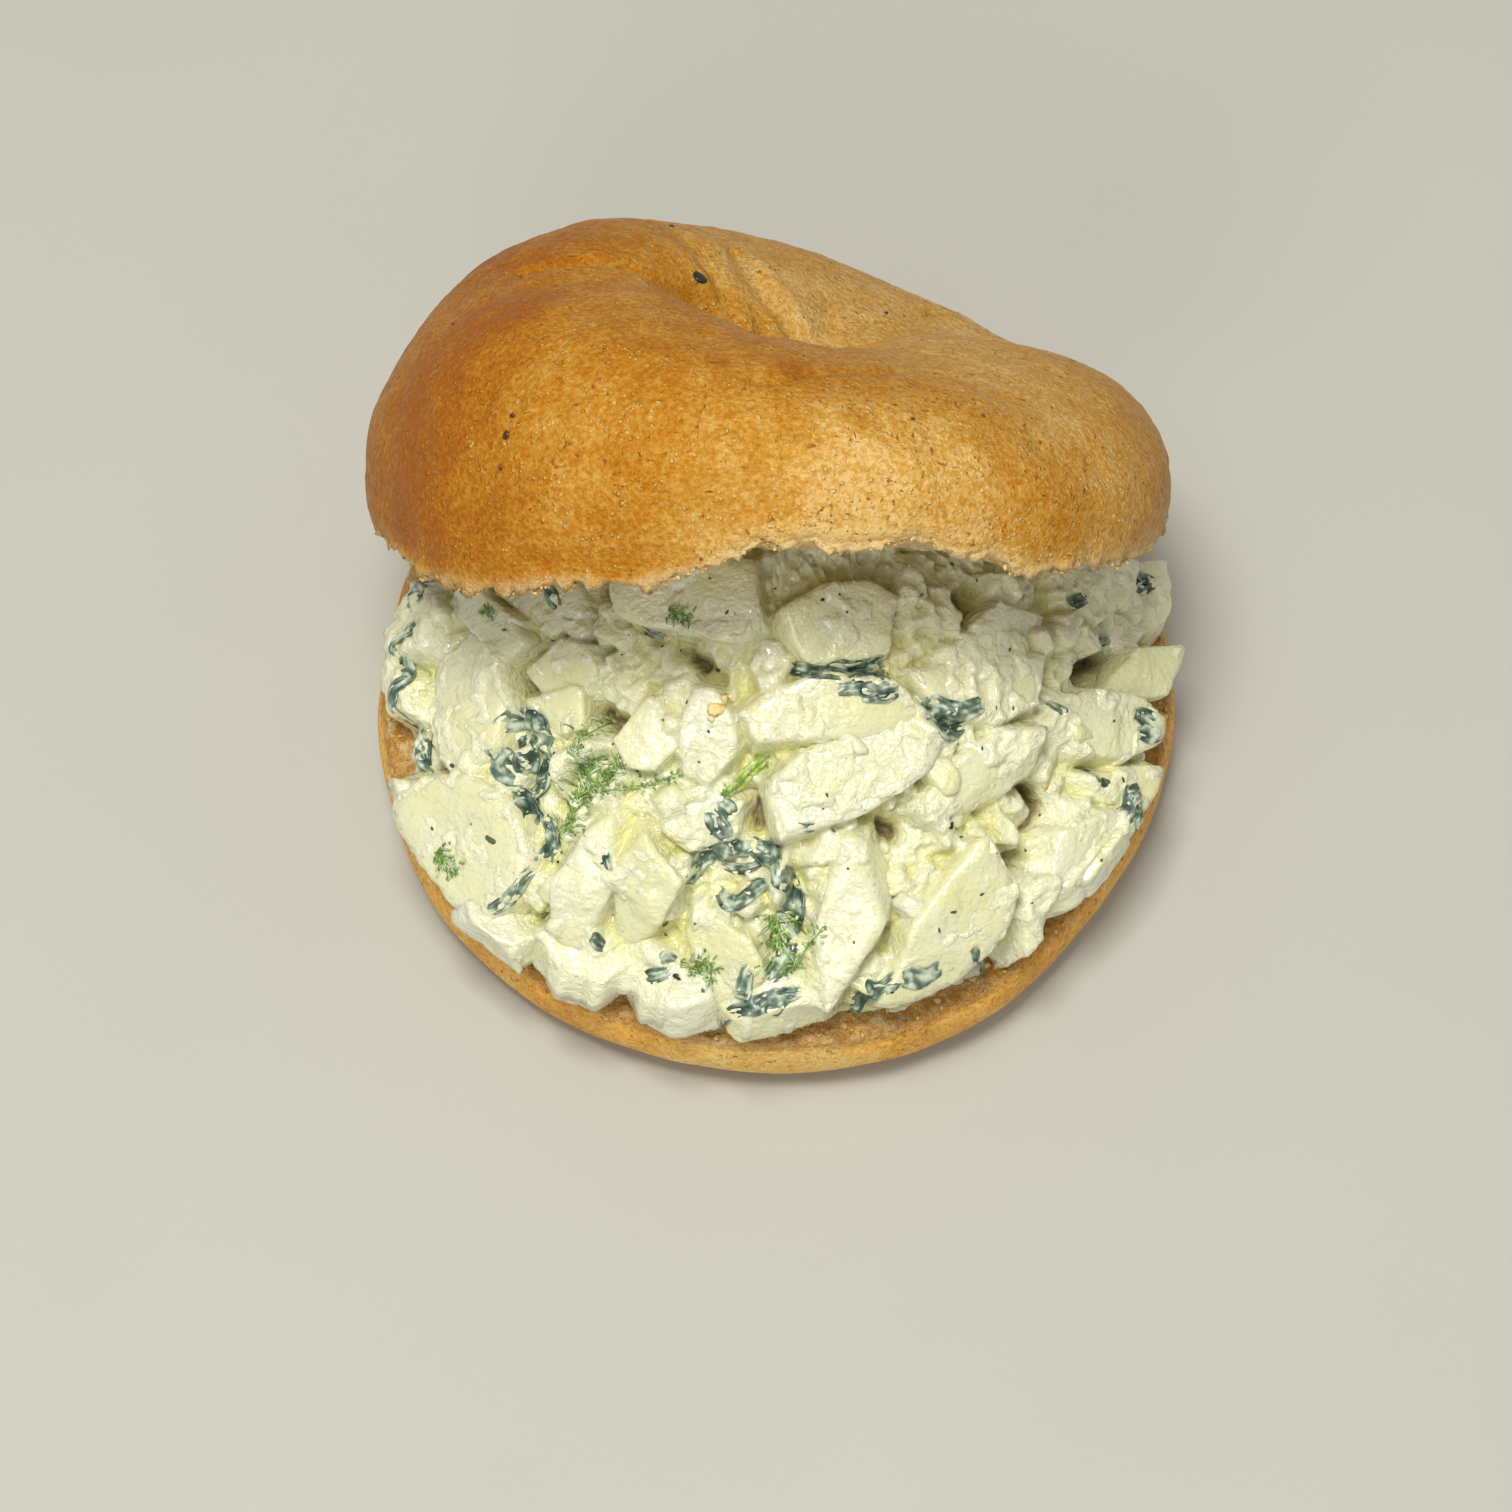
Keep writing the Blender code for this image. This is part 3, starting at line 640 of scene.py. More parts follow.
    def spot(self, x: float, along: float) -> tuple[Array, Array]:
        """Find the dome's surface over a point of the cut plane.

        Args:
            x: the point's place across.
            along: its place backwards.

        Returns:
            The nearest point of the dome and its outward direction.
        """
        flat, points, out = self.seat
        off_dome = np.where(flat[..., 2] < 4.0, 1e6, 0.0)
        away = (flat[..., 0] - x) ** 2 + (flat[..., 1] - along) ** 2 + off_dome
        nearest = np.unravel_index(np.argmin(away), away.shape)
        return points[nearest], out[nearest]

    def build(self, finish: Material) -> Object:
        """Make the piece."""
        made = self.shape().to_object("upper_bagel_half", finish)
        present(made, Slot.UPPER, ("bagel_top",))
        return made


@dataclass
class LowerHalf:
    """The flat-footed half with a level, toasted cut face.

    bulge_at: share of the height at which it is widest
    foot_lip: how far the hole's lower edge is rounded off
    crust_power: squareness of the crust below the widest place
    """

    radius: float = 57.4
    cut_z: float = 15.0
    foot_inset: float = 9.0
    edge_inset: float = 1.4
    bulge_at: float = 0.62
    hole_cut: float = 7.0
    hole_foot: float = 10.0
    foot_lip: float = 2.5
    crust_power: float = 2.4
    columns: int = 460
    noise: Noise = field(default_factory=lambda: Noise(SEED + 1))

    def outline(self, angle: Array) -> Array:
        """Outer radius at the widest."""
        return self.radius + wave(angle, ((2, 0.7, 20), (3, 0.5, 75), (5, 0.3, 10)))

    def section(self, angle: Array) -> tuple[Array, Array, Array]:
        """Cross-section at each angle, from the hole along the cut face and down to the foot.

        Args:
            angle: places round the ring, in radians.

        Returns:
            Radius, height and the share of crumb, each as (rows, columns).
        """
        widest = self.outline(angle)
        foot = widest - self.foot_inset
        hole = self.hole_cut + wave(angle, ((2, 0.6, 50),))
        edge = widest - self.edge_inset
        loop = Loop(angle)
        for t in np.linspace(0.0, 1.0, 44, endpoint=False) ** 0.55:
            loop.add(hole + (edge - hole) * t, self.cut_z, 1.0)
        for share in np.linspace(1.0, self.bulge_at, 12, endpoint=False):
            past = (share - self.bulge_at) / (1.0 - self.bulge_at)
            crumb = float(smooth_step(0.55, 0.95, np.array(past)))
            loop.add(widest - self.edge_inset * past * past, self.cut_z * share, crumb)
        for turn in np.linspace(0.0, 0.5 * math.pi, 22, endpoint=False):
            share = self.bulge_at * (1.0 - math.sin(turn) ** (2.0 / self.crust_power))
            radius = foot + (widest - foot) * math.cos(turn) ** (2.0 / self.crust_power)
            loop.add(radius, self.cut_z * share, 0.0)
        for t in np.linspace(0.0, 1.0, 16, endpoint=False):
            loop.add(foot + (self.hole_foot + self.foot_lip - foot) * t, 0.0, 0.0)
        for share in np.linspace(0.0, 1.0, 12, endpoint=False):
            flare = self.hole_foot + self.foot_lip * (1.0 - share) ** 6 - hole
            loop.add(hole + flare * (1.0 - share) ** 2, self.cut_z * share, share * 0.5)
        return loop.stacked()

    def shape(self) -> Shape:
        """Work out the surface: a crust with soft lumps, a crumb face with open pores."""
        angle = dense_angles(self.columns, 0.3)
        radius, height, crumb = self.section(angle)
        points = np.stack((radius * np.cos(angle), radius * np.sin(angle), height), axis=-1)
        out = outward(points, True)
        on_cut_face = 4
        out *= np.sign(out[on_cut_face, :, 2].mean())
        lumps = 0.4 * self.noise.layered(points, 12.0, 2) - 0.2
        pores = np.minimum(0.5 * self.noise.layered(points, 2.4, 3, 0.6), 0.15) - 0.1
        standing = smooth_step(0.0, 2.5, height)
        moved = (crumb * pores + (1.0 - crumb) * lumps) * standing
        inward = self.outline(angle) - radius
        rim = np.exp(-((radius - self.outline(angle)) / 4.0) ** 2) * crumb
        moved = moved - 0.5 * rim * np.abs(self.noise.layered(points, 4.0, 2))
        points = points + out * moved[..., None]
        points[..., 2] = np.clip(points[..., 2], 0.0, None)
        rows, columns = radius.shape
        browning = 0.45 + 0.25 * self.noise.layered(points, 14.0, 3)
        browning = browning + 0.35 * smooth_step(9.0, 3.0, inward) * crumb
        smears = smooth_step(1.0, 7.0, inward) + 0.9 * self.noise.layered(points + 60.0, 4.5, 3, 0.6)
        values = {
            "crumb": crumb.ravel(),
            "baked": np.clip(browning, 0.0, 1.0).ravel(),
            "smear": (np.clip(smears, 0.0, 1.0) * crumb).ravel(),
        }
        return Shape(points.reshape(-1, 3), grid_faces(rows, columns, True), values)

    def build(self, finish: Material) -> Object:
        """Make the piece."""
        made = self.shape().to_object("lower_bagel_half", finish)
        present(made, Slot.LOWER, ("bagel_bottom",))
        return made


@dataclass(frozen=True)
class Chunk:
    """A chopped piece of egg white, lying on the heap.

    outline: corners of its upper face on the plan, going round in one direction
    top: how high its upper face stands over the bare core
    thick: its thickness
    tilt: rise of its upper face to the right and to the back, per unit of length
    crisp: 0 for a rounded pebble, 1 for knife-cut edges
    bare: how much of it shows through the dressing, from -1 for none to 1 for all
    """

    outline: tuple[tuple[float, float], ...]
    top: float = 5.2
    thick: float = 6.0
    tilt: tuple[float, float] = (0.0, 0.0)
    crisp: float = 0.6
    bare: float = 0.3


# The pieces that show at the front, from left to right and from the back to the front
CHUNKS = (
    Chunk(((-57, 14), (-51, 15), (-44.5, 8), (-42, 2.5), (-45, -2.5), (-51, -0.5)), 5.0, 7.0, (0.1, 0.0),
          0.4, -0.2),
    Chunk(((-42.5, 6), (-38, 3), (-33, -3.5), (-30.5, -9), (-32, -10), (-36.5, -6.5), (-41.5, 1)), 6.6, 4.0,
          (0.0, 0.15), 0.7, 0.8),
    Chunk(((-38, 5.5), (-31, 4), (-24, -1.5), (-23, -6.5), (-28, -8), (-32, -4)), 5.2, 6.0, (0.1, 0.1), 0.5,
          0.5),
    Chunk(((-21, -2), (-12, 0), (-2, -1), (-0.5, -10), (-4.5, -12), (-9, -12.5), (-16, -9.5), (-21, -6)),
          6.0, 7.0, (0.05, 0.12), 0.55, 1.0),
    Chunk(((-0.5, -8), (6, -4), (12, -3), (16, -4.5), (14.5, -11.5), (8.5, -14.5), (4, -14.5), (1, -11.5)),
          6.4, 6.0, (-0.1, 0.15), 0.75, 0.9),
    Chunk(((18, -10.5), (19.5, -5.5), (25.5, -2.5), (35, -2), (34, -7.5), (26, -11)), 6.2, 6.0, (0.0, 0.2),
          0.7, 0.8),
    Chunk(((16, -14), (25, -10.5), (35, -7), (34, -14), (28, -18.5), (21, -18.5)), 5.6, 6.0, (0.0, -0.08),
          0.45, 0.5),
    Chunk(((36, 5), (42, 12), (48, 14), (47.5, 6.5), (42.5, 0), (37, 0.5)), 5.2, 6.0, (0.0, 0.1), 0.5, 0.3),
    Chunk(((47, 11), (51.5, 16), (55.5, 17), (55.5, 9), (51.5, 3.5), (47, 5)), 5.0, 8.0, (-0.1, 0.0), 0.4,
          0.1),
    Chunk(((42.5, -6.5), (46.5, -1), (54, 3), (53.5, 0), (51, -5), (47, -8), (43, -9)), 6.4, 4.5,
          (0.1, 0.25), 0.8, 0.7),
    Chunk(((37, -13.5), (39.5, -9.5), (47, -7.5), (50.5, -9), (50, -12.5), (46, -17), (39.5, -18.5)), 6.2,
          6.0, (0.15, 0.1), 0.7, 0.4),
    Chunk(((39.5, -19), (47.5, -16), (52, -14), (51.5, -18), (49, -22), (42.5, -23)), 5.4, 6.0, (0.2, 0.0),
          0.6, 0.0),
    Chunk(((-54, 0.5), (-50.5, 0.5), (-48.5, -4.5), (-49, -9), (-52.5, -7)), 4.8, 6.0, (0.0, 0.0), 0.4,
          0.0),
    Chunk(((-44.5, -5), (-39.5, -2.5), (-36, -5), (-33.5, -10), (-33, -14.5), (-36, -19.5), (-39, -21.5),
          (-43, -19.5), (-45, -13)), 6.0, 7.0, (0.05, 0.05), 0.35, 0.4),
    Chunk(((-32, -10), (-26.5, -7.5), (-22.5, -9.5), (-21.5, -13), (-24, -15), (-30, -13.5)), 5.6, 6.0,
          (0.1, 0.15), 0.5, 0.4),
    Chunk(((-32, -13.5), (-25.5, -14), (-21.5, -16), (-23, -19), (-27.5, -20), (-32, -17.5)), 5.4, 6.0,
          (-0.1, 0.1), 0.5, 0.3),
    Chunk(((-21, -20.5), (-16, -16.5), (-12.5, -22.5), (-15, -25.5), (-19.5, -24.5)), 6.0, 6.0,
          (0.15, -0.1), 0.85, 0.8),
    Chunk(((-12.5, -20.5), (-10.5, -16), (-8, -15), (-5, -19.5), (-4.5, -23.5), (-8.5, -27),
          (-11.5, -25.5)), 6.4, 6.0, (0.1, 0.2), 0.7, 0.5),
    Chunk(((-5.5, -20), (-0.5, -17), (6, -15), (15.5, -15), (21, -19), (17, -21.5), (6, -23), (-3.5, -23)),
          6.4, 6.5, (0.05, 0.1), 0.5, 0.4),
    Chunk(((-2.5, -28), (2.5, -24.5), (10, -22.5), (19.5, -19), (22, -20.5), (19.5, -26), (16.5, -29),
          (11.5, -31), (4.5, -34.5), (-1, -34.5)), 6.2, 6.5, (0.05, -0.05), 0.6, 0.2),
    Chunk(((17, -30), (23, -23), (29, -18), (36, -15.5), (38, -17.5), (32, -24), (25, -28.5), (18.5, -31)),
          5.6, 6.0, (0.0, 0.1), 0.35, 0.4),
    Chunk(((-51.5, -18.5), (-47, -17.5), (-39, -20), (-34, -24.5), (-30, -32), (-31.5, -36), (-36, -38.5),
          (-41.5, -37.5), (-46.5, -33), (-50.5, -26)), 6.4, 6.5, (-0.03, 0.0), 0.15, 1.0),
    Chunk(((-29, -35), (-25, -31), (-20.5, -29.5), (-17.5, -31), (-21, -36.5), (-21, -42), (-25, -44.5),
          (-29.5, -41)), 6.0, 7.0, (-0.15, 0.0), 0.6, 0.3),
    Chunk(((-21.5, -35), (-17, -31), (-11.5, -36.5), (-14.5, -40.5), (-20, -43)), 6.6, 6.5, (0.2, 0.1),
          0.85, 0.9),
    Chunk(((-15, -28), (-9, -27), (-4.5, -29.5), (-5.5, -33.5), (-11.5, -34), (-15, -31.5)), 4.6, 6.0,
          (0.0, 0.1), 0.4, -0.3),
    Chunk(((-11.5, -42), (-8, -40), (-2, -43), (-0.5, -47), (-4.5, -50.5), (-8, -50.5)), 6.0, 6.0,
          (0.1, 0.1), 0.7, 0.7),
    Chunk(((4, -36), (7, -33), (12, -33.5), (15, -42), (12, -46), (8.5, -52), (5, -51.5), (2.5, -48.5),
          (5, -43)), 6.6, 7.5, (0.1, -0.05), 0.75, 0.9),
    Chunk(((24, -27), (29, -30), (31.5, -35), (29.5, -41), (25, -46.5), (20, -50.5), (14.5, -52),
          (11, -50.5), (12.5, -46), (17, -41.5), (19, -36)), 7.0, 8.0, (0.0, 0.0), 0.3, 0.8),
    Chunk(((31, -30.5), (35, -28.5), (37, -32.5), (35.5, -38.5), (35, -43), (31, -46.5), (27, -48.5),
          (29, -43.5), (32, -37)), 5.2, 7.0, (0.1, 0.0), 0.35, -0.2),
    Chunk(((37, -28), (43.5, -23), (49, -23), (45, -28.5), (38, -35), (36, -33)), 5.6, 6.0, (0.1, 0.1), 0.6,
          0.3),
    Chunk(((35.5, -39), (37.5, -35), (42.5, -29), (49, -22.5), (51, -23), (46, -31), (41, -37)), 6.2, 5.5,
          (0.15, 0.0), 0.85, 0.6),
    Chunk(((42, -36), (46.5, -29.5), (49, -26), (49.5, -28), (44, -35.5)), 5.6, 5.0, (0.2, 0.0), 0.8, 0.4),
    Chunk(((-54, -19), (-51.5, -19.5), (-47.5, -28), (-48.5, -31), (-52, -25)), 4.6, 6.0, (0.0, 0.0), 0.5,
          0.1),
    Chunk(((-43.5, -38.5), (-40, -36.5), (-34.5, -43), (-35, -46), (-38.5, -45), (-42, -42)), 4.8, 6.0,
          (-0.1, -0.1), 0.8, 0.5),
    Chunk(((-33.5, -43), (-29.5, -41.5), (-23, -44), (-20.5, -48), (-24, -51), (-30, -48.5)), 5.2, 7.0,
          (0.0, 0.1), 0.45, 0.1),
    Chunk(((-24, -44), (-17, -42.5), (-11, -45.5), (-9.5, -49), (-15, -50.5), (-21, -48.5)), 5.2, 6.0,
          (0.0, 0.1), 0.5, 0.2),
    Chunk(((-20, -49), (-15, -48), (-9, -50.5), (-8.5, -54), (-13, -55), (-18.5, -53)), 5.0, 7.0,
          (0.1, 0.0), 0.5, 0.2),
    Chunk(((-8.5, -53), (-4.5, -50.5), (2, -50), (6.5, -52), (4.5, -54.5), (-0.5, -56), (-6.5, -55.5)), 5.6,
          7.0, (0.1, 0.1), 0.75, 0.6),
)


@dataclass(frozen=True)
class Filler:
    """How the smaller chopped bits between and behind the large pieces are drawn.

    count: how many
    from_angle, to_angle: the stretch of the heap they lie on, in degrees
    from_share, to_share: how far down from the apex to the foot
    sizes: shortest and longest length
    tops: lowest and highest upper face over the bare core
    """

    count: int
    from_angle: float
    to_angle: float
    from_share: float
    to_share: float
    sizes: tuple[float, float]
    tops: tuple[float, float]


FILLERS = (
    Filler(70, -175.0, -5.0, 0.25, 0.98, (4.0, 8.0), (3.4, 5.0)),
    Filler(70, -178.0, -2.0, 0.55, 1.0, (2.4, 4.6), (2.6, 4.4)),
    Filler(64, -174.0, -6.0, 0.3, 0.97, (2.6, 5.5), (4.8, 6.6)),
    Filler(52, 0.0, 180.0, 0.8, 1.0, (6.0, 11.0), (2.6, 4.6)),
)


@dataclass(frozen=True)
class Gap:
    """A dark gap between the pieces: its line on the plan, its width and how deep it sinks."""

    line: Line
    width: float = 1.5
    depth: float = 4.5


GAPS = (
    Gap(((-33.6, -10.6), (-33.0, -13.0), (-32.6, -15.4)), 1.2, 5.0),
    Gap(((-23.4, -17.6), (-22.6, -18.6), (-21.6, -19.2)), 1.2, 5.0),
    Gap(((-11.9, -11.0), (-10.3, -12.5), (-7.3, -15.3)), 1.3, 4.0),
    Gap(((12.8, -32.0), (14.0, -32.2), (15.8, -32.4)), 1.2, 5.0),
    Gap(((34.3, -23.8), (35.2, -24.2), (36.1, -25.3)), 1.3, 5.0),
    Gap(((-3.2, -28.7), (-2.5, -30.5), (-2.1, -32.2)), 1.2, 4.0),
    Gap(((25.0, -2.5), (25.7, -3.7), (24.5, -5.4)), 1.4, 4.0),
    Gap(((45.3, -1.6), (43.0, -4.2), (42.2, -6.7)), 1.4, 4.5),
    Gap(((31.5, -33.5), (33.0, -30.5), (35.5, -27.5)), 1.2, 3.5),
    Gap(((-46.5, -14.0), (-45.8, -17.0)), 1.2, 3.5),
)


def cube_ball(steps: int) -> tuple[Array, Array]:
    """A ball of radius 1 made from a cube's six gridded faces, with their edges shared.

    Args:
        steps: quads along each side of a face.

    Returns:
        Its points and its quads.
    """
    line = np.tan(np.linspace(-0.25, 0.25, steps + 1) * math.pi)
    a, b = np.meshgrid(line, line, indexing="ij")
    one = np.ones_like(a)
    sides = (
        (one, a, b), (-one, b, a), (b, one, a), (a, -one, b), (a, b, one), (b, a, -one),
    )
    points = np.concatenate([np.stack(side, axis=-1).reshape(-1, 3) for side in sides])
    face = grid_faces(steps + 1, steps + 1, False, False)
    faces = np.concatenate([face + k * (steps + 1) ** 2 for k in range(6)])
    _, first, home = np.unique(
        np.round(points * 1e5).astype(int), axis=0, return_index=True, return_inverse=True
    )
    return unit(points[first]), home.ravel()[faces]


@dataclass
class EggPiece:
    """A chunk set in its place, as a body bounded by planes."""

    chunk: Chunk
    centre: Array
    axes: Array
    normals: Array
    reaches: Array
    large: bool

    @property
    def power(self) -> float:
        """Sharpness of its edges: a larger power draws the planes' common surface tighter."""
        return 8.0 + 28.0 * self.chunk.crisp

    @property
    def radius(self) -> float:
        """Rough distance of its farthest point from its middle."""
        return float(self.reaches.max()) * 1.35

    def surface(self, directions: Array) -> Array:
        """Find its rounded surface in the given directions from its middle.

        The distance in a direction u is (sum over planes of (n.u / reach)^p)^(-1/p),
        scaled so that the surface comes back out to the planes that the power drew it from.

        Args:
            directions: unit vectors along the piece's own axes.

        Returns:
            Points along the piece's own axes.
        """
        share = np.maximum(directions @ (self.normals / self.reaches[:, None]).T, 0.0)
        distance = (share**self.power).sum(axis=1) ** (-1.0 / self.power)
        local = directions * distance[:, None]
        reached = (local @ self.normals.T).max(axis=0) / self.reaches
        return local / float(np.median(reached))

    def exit_distance(self, points: Array, directions: Array) -> Array:
        """Find how far rays run until they leave the body.

        Args:
            points: the rays' starts.
            directions: their directions.

        Returns:
            The distances, minus infinity where a ray misses.
        """
        start = (points - self.centre) @ self.axes
        step = directions @ self.axes
        rate = step @ self.normals.T
        room = self.reaches - start @ self.normals.T
        leaving = np.where(rate > 1e-6, room / np.where(rate > 1e-6, rate, 1.0), np.inf).min(axis=1)
        entering = np.where(rate < -1e-6, room / np.where(rate < -1e-6, rate, 1.0), -np.inf)
        entering = entering.max(axis=1)
        beside = ((np.abs(rate) <= 1e-6) & (room < 0.0)).any(axis=1)
        return np.where((entering < leaving) & ~beside, leaving, -np.inf)


@dataclass
class Heap:
    """The heap of salad: its bare core and the egg pieces in it.

    apex: plan place of its top
    top_z, edge_z: height of the core at its apex and at its foot
    fall: power of the fall from the apex to the foot
    floor_z, plug_foot: its underside on the bread and the end of its plug
    core_room, piece_room, skin_room: how far core, pieces and surface stay below the upper half
    gap_room: how far the small bits stay from the line of a dark gap
    gap_lines: the gaps' lines, laid on the core
    """

    upper: UpperHalf
    apex: tuple[float, float] = (0.0, 12.0)
    top_z: float = 54.5
    edge_z: float = 20.5
    edge_radius: float = 51.5
    fall: float = 1.9
    floor_z: float = 15.3
    plug_foot: float = 1.6
    core_room: float = 0.6
    piece_room: float = 0.45
    skin_room: float = 0.35
    gap_room: float = 2.6
    pieces: list[EggPiece] = field(default_factory=list)
    gap_lines: list[Array] = field(default_factory=list)

    def __post_init__(self) -> None:
        """Set every chunk in its place, and leave out the small ones with no room or over a gap."""
        for gap in GAPS:
            line = along_path(gap.line, 7)
            heights = [self.height_at(x, y) for x, y in line]
            self.gap_lines.append(np.column_stack((line, heights)))
        for large, chunks in ((True, CHUNKS), (False, self.scattered())):
            for index, chunk in enumerate(chunks):
                piece = self.settle(chunk, index, large)
                middle = np.mean(chunk.outline, axis=0)
                in_gap = min(float(line_distance(middle, gap.line)) for gap in GAPS) < self.gap_room
                if piece is not None and (large or not in_gap):
                    self.pieces.append(piece)

    def edge(self, angle: Array) -> Array:
        """Distance of the heap's foot from the lower half's centre."""
        return self.edge_radius + wave(angle, ((3, 0.9, 260), (5, 0.8, 10), (8, 0.7, 90)))

    def plan(self, share: Array, angle: Array) -> tuple[Array, Array]:
        """Find the plan place of a share of the way from the apex to the foot.

        Args:
            share: 0 at the apex, 1 at the foot.
            angle: places round the foot, in radians.

        Returns:
            X and Y.
        """
        edge = self.edge(angle)
        x = self.apex[0] + share * (edge * np.cos(angle) - self.apex[0])
        y = self.apex[1] + share * (edge * np.sin(angle) - self.apex[1])
        return x, y

    def height(self, share: Array, x: Array, y: Array) -> Array:
        """Height of the bare core, kept under the upper half."""
        free = self.edge_z + (self.top_z - self.edge_z) * (1.0 - share**self.fall)
        return np.minimum(free, self.upper.ceiling(x, y) - self.core_room / math.cos(self.upper.tilt))

    def height_at(self, x: float, y: float) -> float:
        """Height of the bare core over one plan place."""
        return float(self.height(np.array(min(self.share(x, y), 1.0)), x, y))

    def share(self, x: float, y: float) -> float:
        """Find how far a place is on its way from the apex to the foot, by halving the step.

        Args:
            x: the place across.
            y: the place backwards.

        Returns:
            0 at the apex, 1 at the foot, more beyond it.
        """
        reach = np.array((x - self.apex[0], y - self.apex[1]))
        length = float(np.hypot(*reach))
        if length < 1e-6:
            return 0.0
        way = reach / length
        low, high = 0.0, 200.0
        for _ in range(40):
            middle = 0.5 * (low + high)
            px, py = np.array(self.apex) + way * middle
            if math.hypot(px, py) < float(self.edge(np.array(math.atan2(py, px)))):
                low = middle
            else:
                high = middle
        return length / low

    def slope(self, x: float, y: float) -> tuple[Array, Array]:
        """Find the core's top over a plan place.

        Args:
            x: the place across.
            y: the place backwards.

        Returns:
            The point and its outward direction, from differences over a step.
        """
        step = 0.5
        rise_x = (self.height_at(x + step, y) - self.height_at(x - step, y)) / (2.0 * step)
        rise_y = (self.height_at(x, y + step) - self.height_at(x, y - step)) / (2.0 * step)
        return np.array((x, y, self.height_at(x, y))), unit(np.array((-rise_x, -rise_y, 1.0)))

    def scattered(self) -> list[Chunk]:
        """Smaller chopped bits from a seeded draw; each outline is a squashed ring with cut corners."""
        rng = np.random.default_rng(SEED)
        made = []
        for filler in FILLERS:
            for i in range(filler.count):
                spread = (i + rng.uniform(0.2, 0.8)) / filler.count
                angle = math.radians(filler.from_angle + (filler.to_angle - filler.from_angle) * spread)
                share = rng.uniform(filler.from_share**2, filler.to_share**2) ** 0.5
                x, y = self.plan(share, np.array(angle))
                long = rng.uniform(*filler.sizes)
                wide = long * rng.uniform(0.55, 0.85)
                corners = int(rng.integers(4, 7))
                places = np.sort(rng.uniform(-0.35, 0.35, corners) + np.arange(corners))
                turns = places * 2.0 * math.pi / corners
                reach = rng.uniform(0.85, 1.1, corners)
                across = 0.5 * long * reach * np.cos(turns)
                deep = 0.5 * wide * reach * np.sin(turns)
                aim = rng.uniform(0.0, math.pi)
                outline = tuple(
                    (float(x + a * math.cos(aim) - d * math.sin(aim)),
                     float(y + a * math.sin(aim) + d * math.cos(aim)))
                    for a, d in zip(across, deep)
                )
                made.append(Chunk(
                    outline, rng.uniform(*filler.tops), rng.uniform(4.0, 6.0),
                    (rng.uniform(-0.25, 0.25), rng.uniform(-0.25, 0.25)),
                    rng.uniform(0.3, 0.9), rng.uniform(-0.5, 0.6),
                ))
        return made

    def gap_sides(self, laid: Array, offset: Array, foot: Array, axes: Array) -> list[tuple[Array, float]]:
        """Find the sides that keep a laid outline clear of the gaps.

        Args:
            laid: corners of the outline on its own plane, about their middle.
            offset: that middle on the plane.
            foot: the plane's origin on the core.
            axes: the plane's axes and normal.

        Returns:
            Direction and distance of each side.
        """
        made = []
        for gap, line in zip(GAPS, self.gap_lines):
            local = (line - foot) @ axes[:, :2] - offset
            away = np.hypot(*local.T)
            toward = unit(local[np.argmin(away)])
            reach = float(away.min()) - 0.7 * gap.width
            if 1.6 < reach < float((laid @ toward).max()) - 0.2:
                made.append((toward, reach))
        return made

    def settle(self, chunk: Chunk, index: int, large: bool) -> EggPiece | None:
        """Set a chunk on the heap's slope, down from the upper half or up off the bread.

        Its outline is laid on the slope's plane. Each side is a plane through one
        edge of the outline, leaning outwards towards the bottom.

        Args:
            chunk: the chopped piece.
            index: its number, for its draw.
            large: whether it was laid out one by one.

        Returns:
            The piece, or None where neither leaves it room.
        """
        rng = np.random.default_rng(SEED + 1000 * large + index)
        corners = np.array(chunk.outline)
        middle = corners.mean(axis=0)
        foot, normal = self.slope(float(middle[0]), float(middle[1]))
        right = unit(np.array((1.0, 0.0, 0.0)) - normal * normal[0])
        axes = np.stack((right, np.cross(normal, right), normal), axis=1)
        heights = np.array([self.height_at(x, y) for x, y in corners])
        laid = (np.column_stack((corners, heights)) - foot) @ axes[:, :2]
        offset = laid.mean(axis=0)
        laid -= offset
        if np.cross(laid, np.roll(laid, -1, axis=0)).sum() < 0.0:
            laid = laid[::-1]
        edges = np.roll(laid, -1, axis=0) - laid
        sides = unit(np.stack((edges[:, 1], -edges[:, 0]), axis=1))
        side_reach = (sides * laid).sum(axis=1)
        lean = rng.uniform(0.02, 0.4, len(sides))
        for toward, reach in self.gap_sides(laid, offset, foot, axes):
            sides = np.vstack((sides, toward))
            side_reach = np.append(side_reach, reach)
            lean = np.append(lean, 0.05)
        half = 0.5 * chunk.thick
        slant = 1.0 / np.sqrt(1.0 + lean**2)
        side_normals = np.column_stack((sides * slant[:, None], lean * slant))
        side_reaches = (side_reach + lean * half) * slant
        kept = side_reaches > 0.4
        top_tilt = np.array((-chunk.tilt[0], -chunk.tilt[1], 1.0))
        second_tilt = top_tilt + np.append(rng.uniform(-0.3, 0.3, 2), 0.0)
        others = unit(np.array((top_tilt, second_tilt, (0.0, 0.0, -1.0))))
        other_reaches = np.array((half, half * 1.04, half))
        normals = np.concatenate((side_normals[kept], others))
        reaches = np.concatenate((side_reaches[kept], other_reaches))
        centre = foot + normal * (chunk.top - half)
        piece = EggPiece(chunk, centre, axes, normals, reaches, large)
        points = piece.surface(cube_ball(5)[0]) @ axes.T + centre
        above = points[:, 2] - self.upper.ceiling(points[:, 0], points[:, 1])
        drop = max(0.0, float(above.max()) + self.piece_room / math.cos(self.upper.tilt))
        rise = max(0.0, self.floor_z + 0.1 - float(points[:, 2].min()) + drop)
        if drop > 0.0 and rise > 0.0 and not large:
            return None
        piece.centre = centre + np.array((0.0, 0.0, rise - drop))
        return piece


